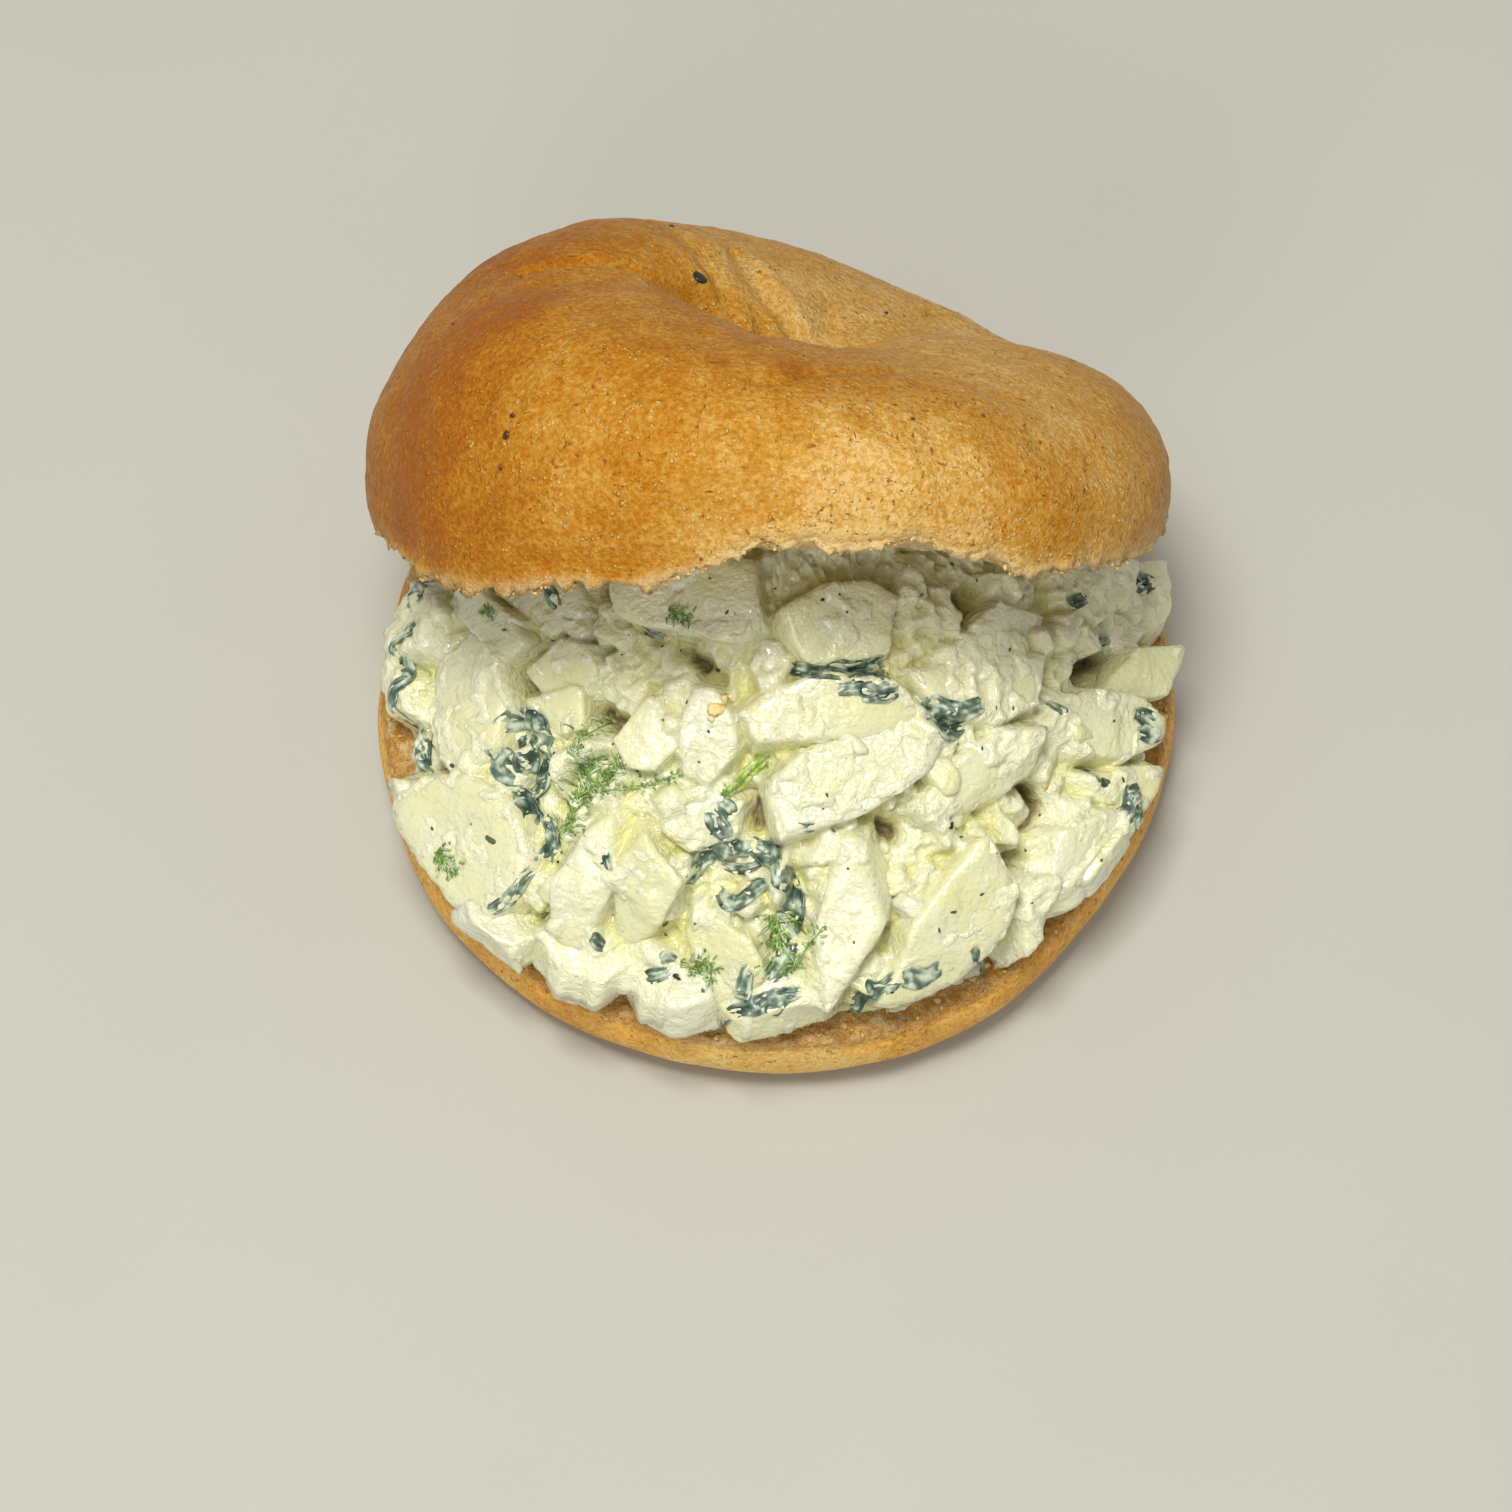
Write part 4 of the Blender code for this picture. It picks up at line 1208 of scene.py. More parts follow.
@dataclass
class Dressing:
    """The creamy dressing that fills the gaps between the egg pieces and half covers them.

    deep: how high it stands over the core, away from the foot
    soft: width over which the lifts of two pieces run together
    plug_radius: radius of the plug in the lower half's hole
    front_share: the front part's half width, as a share of the ring
    """

    heap: Heap
    columns: int = 960
    rows: int = 136
    deep: float = 2.7
    soft: float = 0.28
    plug_radius: float = 5.7
    front_share: float = 0.34
    noise: Noise = field(default_factory=lambda: Noise(SEED + 2))

    def core(self) -> tuple[Array, Array, Array]:
        """The bare core on a grid, from its apex over the foot to the bottom of the plug.

        Returns:
            Points (rows, columns, 3), their outward directions, and how freely
            the dressing may move them, 0 on the hidden underside.
        """
        heap = self.heap
        angle = dense_angles(self.columns, 0.45)
        rows = []
        free = []
        for share in np.linspace(0.0, 1.0, self.rows + 1)[1:] ** 0.8:
            x, y = heap.plan(share, angle)
            z = np.maximum(heap.height(share, x, y), heap.floor_z + 1.2)
            rows.append(np.stack((x, y, z), axis=-1))
            free.append(1.0)
        rim = rows[-1]
        for t in np.linspace(0.0, 1.0, 12)[1:]:
            scale = 1.0 + 0.012 * math.sin(math.pi * min(1.0, 1.3 * t)) - 0.035 * t**3
            z = heap.floor_z + (rim[:, 2] - heap.floor_z) * (1.0 - t)
            rows.append(np.stack((rim[:, 0] * scale, rim[:, 1] * scale, z), axis=-1))
            free.append(1.0 - t**4)
        last = np.hypot(rows[-1][:, 0], rows[-1][:, 1])
        ring = np.stack((np.cos(angle), np.sin(angle), np.zeros_like(angle)), axis=-1)
        for t in (0.5, 1.0):
            radius = last + (self.plug_radius - last) * t
            rows.append(ring * radius[:, None] + np.array((0.0, 0.0, heap.floor_z)))
            free.append(0.0)
        for z in (10.0, 5.0, heap.plug_foot):
            flare = 3.0 * (1.0 - z / 15.0) ** 2
            rows.append(ring * (self.plug_radius + 0.8 * flare) + np.array((0.0, 0.0, z)))
            free.append(0.0)
        points = np.stack(rows)
        out = outward(points, False)
        near_apex = 10
        out *= np.sign(out[near_apex, :, 2].mean())
        return points, out, np.array(free)

    def fill(self, rows: int) -> Array:
        """How high the dressing stands over the core by row: deep inside, thin at the foot."""
        row = np.arange(rows)
        return self.deep - (self.deep - 0.8) * smooth_step(0.72 * self.rows, 1.0 * self.rows, row)

    def cover(self, points: Array, out: Array, fill: Array) -> Array:
        """How far the dressing stands out over the core.

        Its own surface is uneven and whipped into rounded billows. Each egg piece
        lifts it to where the outward ray leaves the piece, plus a coat that is
        thick in places and lies below the piece's face in others. The lifts are
        joined by a smooth maximum, soft * log(sum of exp(lift / soft)).

        Args:
            points: places on the core.
            out: its outward directions there.
            fill: how high the dressing stands by itself.

        Returns:
            The lift of every point.
        """
        ridges = 0.3 - np.abs(self.noise.layered(points, 3.0, 3, 0.62))
        fine = self.noise.layered(points + 70.0, 1.3, 2, 0.6)
        base = fill + 1.2 * self.noise.layered(points + 20.0, 7.0, 2) + 1.9 * ridges + 0.35 * fine
        for gap in GAPS:
            base = base - gap.depth * np.exp(-(line_distance(points, gap.line) / gap.width) ** 2)
        coat = 0.35 + 0.7 * self.noise.layered(points + 40.0, 5.5, 2) + 1.3 * ridges + 0.3 * fine
        total = np.exp(base / self.soft)
        for piece in self.heap.pieces:
            near = np.flatnonzero(((points - piece.centre) ** 2).sum(axis=1) < (piece.radius + 4.0) ** 2)
            if not len(near):
                continue
            lift = piece.exit_distance(points[near], out[near]) + coat[near] - 0.85 * piece.chunk.bare
            total[near] += np.exp(np.clip(lift, -6.0, 12.0) / self.soft)
        return self.soft * np.log(total)

    def surface(self) -> tuple[Array, Array, Array]:
        """Work out the whole surface, softened along its grid.

        Returns:
            Points (rows, columns, 3), how deep each lies between its neighbours, which makes the
            dressing yellower and a little darker there, partly as painted shade, and how far it
            is down in a dark gap, which the finish darkens as painted shade.
        """
        points, out, free = self.core()
        rows, columns = points.shape[:2]
        fill = np.repeat(self.fill(rows), columns)
        lift = self.cover(points.reshape(-1, 3), out.reshape(-1, 3), fill).reshape(rows, columns)
        lift = blurred(lift * free[:, None], 0, 1)
        moved = points + out * lift[..., None]
        moved[..., 2] = np.maximum(moved[..., 2], np.where(free > 0.0, self.heap.floor_z, 0.0)[:, None])
        roof = self.heap.upper.ceiling(moved[..., 0], moved[..., 1]) - self.heap.skin_room
        moved[..., 2] = np.where(free[:, None] > 0.0, np.minimum(moved[..., 2], roof), moved[..., 2])
        # valley: the dressing's own yellow where it pools deep, and a little darker there as painted shade
        narrow = 0.2 * (blurred(lift, 4, 7) - lift)
        wide = 0.12 * (blurred(lift, 12, 20) - lift)
        valley = np.clip(0.45 + narrow + wide, 0.0, 1.0)
        # painted shade: the dressing sunk into a gap gets a dark colour in its finish
        painted_gap_shade = smooth_step(0.6, -1.4, lift) * (free > 0.9)[:, None]
        return moved, valley, painted_gap_shade

    def shapes(self) -> list[Shape]:
        """Cut the surface into a front and a back part.

        Each part is closed by two walls that meet on the line from the apex to
        the root, which is one more column of the part's grid.

        Returns:
            The front part and the back part.
        """
        moved, valley, painted_gap_shade = self.surface()
        rows, columns = valley.shape
        apex = moved[0].mean(axis=0)
        root = moved[-1].mean(axis=0)
        down = np.linspace(0.02, 0.98, rows)[:, None]
        axis = apex + (root - apex) * down
        cut = int(self.front_share * columns)
        parts = []
        for keep in (np.arange(columns // 4 - cut, columns // 4 + cut + 1),
                     np.arange(columns // 4 + cut, columns // 4 - cut + columns + 1)):
            keep = keep % columns
            grid = moved[:, keep]
            first_axis = rows * len(keep)
            index = np.column_stack((np.arange(first_axis).reshape(rows, -1), first_axis + np.arange(rows)))
            faces = index.ravel()[grid_faces(rows, len(keep) + 1, False)]
            poles = first_axis + rows
            faces = np.concatenate((
                faces,
                cap_faces(poles, index[0])[:, ::-1],
                cap_faces(poles + 1, index[-1]),
            ))
            points = np.concatenate((grid.reshape(-1, 3), axis, (apex, root)))
            values = {
                "valley": np.append(valley[:, keep].ravel(), np.full(rows + 2, 0.5)),
                "painted_gap_shade": np.append(painted_gap_shade[:, keep].ravel(), np.zeros(rows + 2)),
            }
            parts.append(Shape(points, faces, values, first_axis))
        return parts

    def build(self, finish: Material) -> list[Shape]:
        """Make the two parts and return their shapes."""
        parts = self.shapes()
        for name, part in zip(("front_dressing", "back_dressing"), parts):
            present(part.to_object(name, finish), Slot.SALAD, ("egg_salad",))
        return parts


def blurred(values: Array, down: int, across: int) -> Array:
    """Average each grid value with its neighbours, weighted by a tent, closed along the columns.

    Args:
        values: the grid.
        down: how many rows to each side count.
        across: how many columns to each side count.

    Returns:
        The softer grid.
    """
    total = 0.0
    weights = 0.0
    padded = np.pad(values, ((down, down), (0, 0)), mode="edge")
    for i in range(-down, down + 1):
        part = (down + 1 - abs(i)) * padded[down + i : down + i + len(values)]
        total = total + part
        weights += down + 1 - abs(i)
    total = total / weights
    result = 0.0
    weights = 0.0
    for j in range(-across, across + 1):
        result = result + (across + 1 - abs(j)) * np.roll(total, j, axis=1)
        weights += across + 1 - abs(j)
    return result / weights


@dataclass
class EggPieces:
    """The chopped egg white itself, each piece with its cut faces."""

    heap: Heap
    fine: int = 19
    coarse: int = 7
    noise: Noise = field(default_factory=lambda: Noise(SEED + 3))

    def shape_of(self, piece: EggPiece, steps: int) -> Shape:
        """Work out one piece: its planes' rounded surface, gently uneven.

        Args:
            piece: the piece.
            steps: quads along each side of the cube that it is made from.

        Returns:
            The closed piece.
        """
        directions, faces = cube_ball(steps)
        local = piece.surface(directions)
        spot = local + 7.0 * piece.centre
        dents = np.abs(self.noise.layered(spot, 2.2, 2))
        uneven = 0.55 * self.noise.layered(spot, 6.0, 2) - 0.3 * dents + 0.1
        local = local + directions * uneven[:, None]
        points = local @ piece.axes.T + piece.centre
        roof = self.heap.upper.ceiling(points[:, 0], points[:, 1]) - self.heap.skin_room
        points[:, 2] = np.clip(points[:, 2], self.heap.floor_z, np.maximum(roof, self.heap.floor_z))
        tone = np.full(len(points), float(piece.centre[0] * 0.37 + piece.centre[1] * 0.73) % 1.0)
        return Shape(points, faces, {"tone": tone})

    def shapes(self) -> list[Shape]:
        """Every piece by itself, in few faces, for what is laid on them."""
        return [self.shape_of(piece, 8) for piece in self.heap.pieces]

    def build(self, finish: Material) -> None:
        """Make the large pieces that show at the front, and the small ones round the back."""
        large = [piece for piece in self.heap.pieces if piece.large]
        small = [piece for piece in self.heap.pieces if not piece.large and piece.chunk.bare > 0.0]
        for name, pieces, steps in (
            ("egg_white_pieces", large, self.fine),
            ("egg_white_bits", small, self.coarse),
        ):
            whole = joined([self.shape_of(piece, steps) for piece in pieces])
            present(whole.to_object(name, finish), Slot.SALAD, ("egg_salad",))


@dataclass
class Landing:
    """Finds where a thing laid on the heap comes to rest on its finished surface."""

    heap: Heap
    shapes: Sequence[Shape]

    def __post_init__(self) -> None:
        """Gather the surfaces of the salad into one search tree."""
        bare = [Shape(shape.points, shape.faces) for shape in self.shapes]
        whole = joined(bare)
        square = whole.faces[:, 0] != whole.faces[:, 3]
        self.tree = BVHTree.FromPolygons(whole.points.tolist(), whole.faces[square].tolist())

    def drop(self, x: float, y: float) -> tuple[Array, Array]:
        """Find the surface under a plan place.

        Args:
            x: the place across.
            y: the place backwards.

        Returns:
            The point and the core's outward direction there.
        """
        foot, normal = self.heap.slope(x, y)
        start = Vector(foot + normal * 14.0)
        place, _, _, _ = self.tree.ray_cast(start, Vector(-normal))
        return (np.array(place) if place is not None else foot), normal

    def press(self, places: Array, normals: Array) -> Array:
        """Measure how high the surface stands over places.

        Args:
            places: the places.
            normals: the direction that each height is measured along.

        Returns:
            The heights.
        """
        heights = np.zeros(len(places))
        for k, (place, normal) in enumerate(zip(places, normals)):
            hit, _, _, _ = self.tree.ray_cast(Vector(place + normal * 6.0), Vector(-normal))
            if hit is not None:
                heights[k] = float(np.dot(np.array(hit) - place, normal))
        return np.clip(heights, -3.0, 3.0)

    def lay(self, path: Array) -> tuple[Array, Array]:
        """Places and directions under each point of a path on the plan, evened out along it."""
        landed = [self.drop(float(x), float(y)) for x, y in path]
        places = softened(np.array([place for place, _ in landed]), 2)
        return places, unit(softened(np.array([normal for _, normal in landed]), 2))


def softened(values: Array, times: int) -> Array:
    """Draw each row towards the mean of its neighbours, with the first and last held.

    Args:
        values: the rows.
        times: how many times.

    Returns:
        The softer rows.
    """
    result = values.astype(float)
    for _ in range(times):
        result[1:-1] = 0.25 * result[:-2] + 0.5 * result[1:-1] + 0.25 * result[2:]
    return result


def along_path(corners: Sequence[tuple[float, float]], count: int) -> Array:
    """Lay evenly spaced points on a rounded line.

    Args:
        corners: the line's corners.
        count: how many points.

    Returns:
        The points.
    """
    points = np.array(corners, float)
    steps = np.linalg.norm(np.diff(points, axis=0), axis=1)
    gone = np.concatenate(([0.0], np.cumsum(steps)))
    at = np.linspace(0.0, gone[-1], count)
    line = np.column_stack([np.interp(at, gone, points[:, k]) for k in range(points.shape[1])])
    return softened(line, 6)


def swept(middle: Array, normals: Array, across: Array, out: Array) -> Shape:
    """Carry a closed profile along a path.

    Args:
        middle: points of the path, (stations, 3).
        normals: the profile's outward direction at each station.
        across: sideways place of each profile point, (stations, profile).
        out: place of each profile point along the outward direction, likewise.

    Returns:
        The closed surface, with a pole at each end.
    """
    ahead = unit(np.gradient(middle, axis=0))
    side = unit(np.cross(normals, ahead))
    points = middle[:, None] + side[:, None] * across[..., None] + normals[:, None] * out[..., None]
    stations, profile = across.shape
    poles = np.stack((points[0].mean(axis=0), points[-1].mean(axis=0)))
    count = stations * profile
    faces = np.concatenate((
        grid_faces(stations, profile, False),
        cap_faces(count, np.arange(profile))[:, ::-1],
        cap_faces(count + 1, np.arange(count - profile, count)),
    ))
    return Shape(np.concatenate((points.reshape(-1, 3), poles)), faces)


@dataclass(frozen=True)
class Strip:
    """A shred of dark leaf: its line on the plan, its width, and how far its edges curl up."""

    line: tuple[tuple[float, float], ...]
    width: float = 2.0
    curl: float = 0.5


STRIPS = (
    Strip(((-35.5, -16.5), (-32.5, -15.5), (-29.5, -17.5), (-30, -21.5)), 2.2, 0.9),
    Strip(((-36, -18), (-35, -21.5), (-32.5, -23.5)), 2.4, 0.8),
    Strip(((-33.5, -17.5), (-32, -20), (-32.5, -23)), 2.2, 0.7),
    Strip(((-30, -21), (-30.5, -24.5), (-33, -25.5)), 2.0, 0.8),
    Strip(((-34, -24), (-32.5, -26), (-31, -29)), 1.8, 0.5),
    Strip(((-30.5, -28), (-29, -30.5), (-30.5, -33.5)), 1.6, 0.5),
    Strip(((-31, -33.5), (-34, -36.5), (-37.5, -37.5)), 1.3, 0.3),
    Strip(((-11.5, -37.5), (-9.5, -34.8), (-6, -34), (-2.5, -34.3)), 2.0, 0.8),
    Strip(((-3, -34), (0.5, -35.5), (2.6, -38.5)), 2.2, 0.9),
    Strip(((2.5, -38), (3, -41), (2.6, -44)), 2.2, 0.8),
    Strip(((2.6, -43.5), (2, -46), (-0.5, -48)), 1.8, 0.6),
    Strip(((-8, -38.5), (-5, -39.8), (-2, -38.5), (0, -37.5)), 1.6, 0.6),
    Strip(((-7.5, -36), (-4.5, -36.5), (-1.5, -36)), 1.3, 0.4),
    Strip(((-2.5, -47.5), (-4, -49.5), (-3.5, -51)), 1.6, 0.6),
    Strip(((1.5, -14.2), (6, -15), (10, -14), (14.5, -12.3)), 1.6, 0.6),
    Strip(((7, -17), (11, -16), (14.5, -14.5)), 2.2, 0.8),
    Strip(((10, -17.5), (13, -17), (15, -16)), 1.6, 0.5),
    Strip(((18, -18.5), (19.5, -17), (23.5, -17.3), (26, -15.5)), 2.2, 1.0),
    Strip(((19.5, -18), (21.5, -20), (24.5, -18.5)), 1.8, 0.7),
    Strip(((-8.5, -29.5), (-7, -31.5), (-5.5, -33)), 1.8, 0.7),
    Strip(((-7, -28.5), (-5, -30.5)), 1.4, 0.4),
    Strip(((49, -12.5), (52, -11.5), (54.5, -11.5)), 1.5, 0.8),
    Strip(((51, -14), (53.5, -14), (55.5, -12.5)), 1.3, 0.5),
    Strip(((48.5, -26), (50, -24), (50.5, -21)), 1.8, 0.8),
    Strip(((50.5, -27), (51, -24.5), (51.5, -22)), 1.5, 0.5),
    Strip(((41.5, -19.5), (44, -20.5)), 1.3, 0.4),
    Strip(((45.5, -21), (47.5, -19.5)), 1.2, 0.4),
    Strip(((10.5, -52.5), (14, -52.5), (17.5, -51)), 1.7, 0.7),
    Strip(((17, -51.5), (20.5, -51), (23, -49.5)), 1.2, 0.5),
    Strip(((27, -48), (29.5, -47.5)), 1.3, 0.4),
    Strip(((-7, -55), (-3, -55), (1, -53.8), (4, -53)), 1.9, 0.7),
    Strip(((-53, 0), (-51.5, -5), (-50.5, -10)), 1.6, 0.6),
    Strip(((-50.5, -9.5), (-49.5, -14), (-48.8, -17.5)), 1.7, 0.6),
    Strip(((-53.5, 3), (-51, 2.5), (-49.5, -0.5)), 1.4, 0.7),
    Strip(((-53.5, 11), (-51, 9.5), (-49.5, 7)), 1.6, 0.6),
    Strip(((-25.5, -45.5), (-23.5, -46.5)), 1.2, 0.4),
    Strip(((-17.5, -46.5), (-14.5, -47.5)), 1.4, 0.5),
    Strip(((-16, -48.5), (-13.5, -48)), 1.2, 0.4),
    Strip(((3, -32), (5.5, -31.8)), 1.3, 0.5),
    Strip(((-21.8, -33), (-21.2, -35)), 1.2, 0.3),
    Strip(((43, -2), (45, 0)), 1.6, 0.5),
    Strip(((48, 8), (51, 12)), 1.5, 0.4),
    Strip(((38, 1), (40.5, 3.5)), 1.7, 0.5),
    Strip(((36, -12.5), (36.8, -14.5)), 1.2, 0.3),
    Strip(((-28, -1), (-27, -4)), 1.4, 0.4),
    Strip(((-17, -8.5), (-14.5, -9.5)), 1.2, 0.4),
    Strip(((25, 20), (30, 24), (33, 23)), 1.8, 0.6),
    Strip(((-30, 28), (-35, 30)), 1.8, 0.5),
    Strip(((47, 24), (49.5, 20)), 1.6, 0.5),
    Strip(((-48, 20), (-46, 25)), 1.6, 0.5),
    Strip(((2, 48), (8, 50)), 1.6, 0.4),
)


@dataclass(frozen=True)
class Frond:
    """A feather of dill: its line on the plan and the length of its hairs."""

    line: tuple[tuple[float, float], ...]
    hair: float = 2.4
    hairs: int = 16


FRONDS = (
    Frond(((-28, -31), (-25.5, -27.5), (-23.5, -23)), 2.6, 20),
    Frond(((-26, -27), (-22, -25.5), (-19.5, -23.5)), 2.0, 16),
    Frond(((-25, -24), (-24.5, -20.5), (-23, -18.5)), 1.8, 12),
    Frond(((-22, -26.5), (-17, -27), (-13, -25.5)), 1.2, 12),
    Frond(((0.5, -41.5), (1, -44), (1.8, -47)), 2.4, 22),
    Frond(((3, -47), (4.5, -45), (6.5, -42.5)), 1.2, 6),
    Frond(((-43.5, -28.5), (-42, -30), (-40.5, -31.5)), 1.8, 12),
    Frond(((-6.5, -28.2), (-3.5, -26.3), (-0.8, -24.5)), 0.9, 10),
    Frond(((-13, -49), (-10, -49.5), (-8, -48.5)), 1.6, 12),
    Frond(((-13, -7), (-10.5, -8)), 1.4, 8),
    Frond(((-36, -1), (-35, -3)), 1.2, 8),
)

# The bright sliver of stem beside the yolk
SLIVER = Strip(((-6.8, -28.6), (-4.5, -27), (-0.8, -24.2)), 1.5, 0.4)

# Place on the plan and size of each bit of yolk
YOLK_BITS = (
    (-7.4, -18.4, 1.2), (-6.5, -17.5, 0.8), (-8.0, -19.4, 0.6), (36.8, -22.8, 0.6),
)

# Place over the cut plane and size of each flake on the upper crust
CRUST_FLAKES = (
    (-10.1, 7.5, 1.25), (16.3, 26.7, 0.5), (-14.5, 22.3, 0.5),
)
SCORCHED_FLAKES = (
    (-35.6, -39.4, 0.75), (-34.6, -38.6, 0.5), (-36.3, -40.6, 0.45), (-38.0, -30.0, 0.35), (18.0, -44.0, 0.4),
    (-44.0, -12.0, 0.5), (27.0, -38.0, 0.45),
)


def flake(place: Array, normal: Array, stretch: Sequence[float], rng: np.random.Generator,
          steps: int = 2, rough: float = 0.3) -> Shape:
    """A flat rounded flake lying on a surface, turned and toned by the draw.

    Args:
        place: its middle.
        normal: the surface's outward direction there.
        stretch: its half lengths along, across and out of the surface.
        rng: the draw.
        steps: quads along each side of the cube that it is made from.
        rough: share by which its points stray in and out.

    Returns:
        The flake.
    """
    directions, faces = cube_ball(steps)
    aim = unit(np.cross(normal, rng.normal(size=3)))
    axes = np.stack((aim, np.cross(normal, aim), normal))
    ragged = 1.0 + rough * rng.uniform(-1.0, 1.0, (len(directions), 1))
    points = place + (directions * ragged * np.array(stretch)) @ axes + normal * 0.03
    return Shape(points, faces, {"tone": np.full(len(directions), rng.uniform(0.0, 1.0))})


@dataclass
class Herbs:
    """Leaf shreds, dill and specks of pepper on the salad.

    stations: points along a dill stem
    hair_share: hairs drawn for each one that a frond names
    specks_drawn: how many specks are scattered
    """

    landing: Landing
    stations: int = 14
    hair_share: int = 7
    specks_drawn: int = 130
    noise: Noise = field(default_factory=lambda: Noise(SEED + 4))

    def ribbon(self, strip: Strip, index: int) -> Shape:
        """A thin crumpled ribbon, narrow at its ends, that lies on the salad.

        Across its width s from -1 to 1 it rises by curl * s^2 over the surface
        under it, plus lengthwise folds and a crinkle from noise.

        Args:
            strip: the shred.
            index: its number, which moves it in the noise.

        Returns:
            The closed ribbon.
        """
        length = sum(math.dist(a, b) for a, b in zip(strip.line, strip.line[1:]))
        stations = max(9, int(length * 2.8))
        middle, normals = self.landing.lay(along_path(strip.line, stations))
        t = np.linspace(0.0, 1.0, stations)[:, None]
        s = np.linspace(-1.0, 1.0, 12)[None, :]
        half = 0.7 * strip.width * (0.35 + 0.65 * np.sqrt(np.sin(math.pi * np.clip(t, 0.03, 0.97))))
        spot = np.stack(np.broadcast_arrays(t * length, s * strip.width, index * 9.1 + 0.0 * t * s), axis=-1)
        half = half * (1.0 + 0.3 * self.noise.at(spot[:, :1], 2.5))
        wander = self.noise.at(spot, 3.0)
        fold = 0.1 * np.cos(7.0 * s + 4.0 * wander) + 0.3 * self.noise.layered(spot + 9.0, 1.6, 3, 0.6)
        across = half * (s + 0.16 * self.noise.at(spot + 5.0, 1.1))
        side = unit(np.cross(normals, unit(np.gradient(middle, axis=0))))
        under = (middle[:, None] + side[:, None] * across[..., None]).reshape(-1, 3)
        ground = self.landing.press(under, np.repeat(normals, s.shape[1], axis=0)).reshape(across.shape)
        ground = softened(softened(ground, 2).T, 2).T
        rise = ground + 0.3 * strip.curl * s**2 + fold + 0.14 - 0.7 * np.abs(2.0 * t - 1.0) ** 6
        thick = 0.08
        loop_across = np.concatenate((across, across[:, ::-1]), axis=1)
        loop_out = np.concatenate((rise + thick, (rise - thick)[:, ::-1]), axis=1)
        made = swept(middle, normals, loop_across, loop_out)
        height = np.concatenate((fold, fold[:, ::-1]), axis=1).ravel()
        made.values["tone"] = np.append(np.clip(0.5 + 1.3 * height, 0.0, 1.0), (0.5, 0.5))
        return made

    def hair(self, root: Array, tip: Array, thick: float) -> Shape:
        """Work out a fine hair that narrows towards its tip and bows a little.

        Args:
            root: where it starts.
            tip: where it ends.
            thick: its thickness at the root.

        Returns:
            The closed hair.
        """
        t = np.linspace(0.0, 1.0, 4)[:, None]
        bow = np.array((0.0, 0.0, 0.18)) * np.sin(math.pi * t) * np.linalg.norm(tip - root)
        middle = root + (tip - root) * t + bow
        up = np.broadcast_to(np.array((0.0, 0.0, 1.0)), middle.shape)
        turn = np.linspace(0.0, 2.0 * math.pi, 4, endpoint=False)[None, :]
        radius = 0.5 * thick * (1.0 - 0.6 * t)
        made = swept(middle, up, radius * np.cos(turn), radius * np.sin(turn))
        made.values["tone"] = np.full(len(made.points), (float(tip[0]) * 3.7) % 1.0)
        return made

    def frond(self, frond: Frond, index: int) -> Shape:
        """Work out a stem with a thick tangle of short hairs along it.

        Args:
            frond: the feather of dill.
            index: its number, for its draw.

        Returns:
            The stem and its hairs.
        """
        rng = np.random.default_rng(SEED + 50 + index)
        middle, normals = self.landing.lay(along_path(frond.line, self.stations))
        middle = middle + normals * 0.3
        turn = np.linspace(0.0, 2.0 * math.pi, 6, endpoint=False)[None, :]
        radius = 0.2 * (1.0 - 0.6 * np.linspace(0.0, 1.0, self.stations))[:, None]
        stem = swept(middle, normals, radius * np.cos(turn), radius * np.sin(turn))
        stem.values["tone"] = np.full(len(stem.points), 0.3)
        ahead = unit(np.gradient(middle, axis=0))
        side = unit(np.cross(normals, ahead))
        count = frond.hairs * self.hair_share
        at = rng.integers(0, self.stations, count)
        hand = rng.normal(0.0, 0.8, count)[:, None]
        spread = rng.uniform(0.0, 0.8, count)[:, None]
        sideways = hand + rng.normal(0.0, 0.4, (count, 1))
        forwards = rng.uniform(0.1, 1.2, (count, 1))
        aim = unit(side[at] * sideways + ahead[at] * forwards)
        starts = middle[at] + side[at] * hand * spread * frond.hair
        tips = starts + aim * frond.hair * rng.uniform(0.25, 0.65, (count, 1))
        starts = starts + normals[at] * (self.landing.press(starts, normals[at])[:, None] + 0.12)
        tips = tips + normals[at] * (self.landing.press(tips, normals[at])[:, None] + 0.3)
        thick = rng.uniform(0.26, 0.46, count)
        return joined([stem, *(self.hair(*ends) for ends in zip(starts, tips, thick))])

    def specks(self) -> Shape:
        """Flat specks of pepper and leaf, scattered by a seeded draw."""
        rng = np.random.default_rng(SEED + 5)
        parts = []
        for k in range(self.specks_drawn):
            angle = rng.uniform(-math.pi, 0.0) if k % 4 else rng.uniform(0.0, math.pi)
            share = math.sqrt(rng.uniform(0.02, 1.0))
            x, y = self.landing.heap.plan(share, np.array(angle))
            place, normal = self.landing.drop(float(x), float(y))
            size = rng.uniform(0.12, 0.28) * (2.0 if k % 7 == 0 else 1.0)
            stretch = (size * rng.uniform(1.0, 2.2), size, size * 0.35)
            parts.append(flake(place, normal, stretch, rng))
        return joined(parts)

    def yolk(self) -> Shape:
        """Bits of yolk between the pieces."""
        rng = np.random.default_rng(SEED + 9)
        parts = []
        for x, y, size in YOLK_BITS:
            place, normal = self.landing.drop(x, y)
            parts.append(flake(place, normal, (size, 0.75 * size, 0.3 * size), rng, 4))
        return joined(parts)

    def crust_flakes(self, upper: UpperHalf, marks: Sequence[tuple[float, float, float]]) -> Shape:
        """Work out flakes that stick to the upper crust.

        Args:
            upper: the half that they stick to.
            marks: place over the cut plane and size of each.

        Returns:
            The flakes.
        """
        rng = np.random.default_rng(SEED + 10)
        parts = []
        for x, along, size in marks:
            place, normal = upper.spot(x, along)
            parts.append(flake(place, normal, (size, 0.65 * size, 0.2), rng))
        return joined(parts)

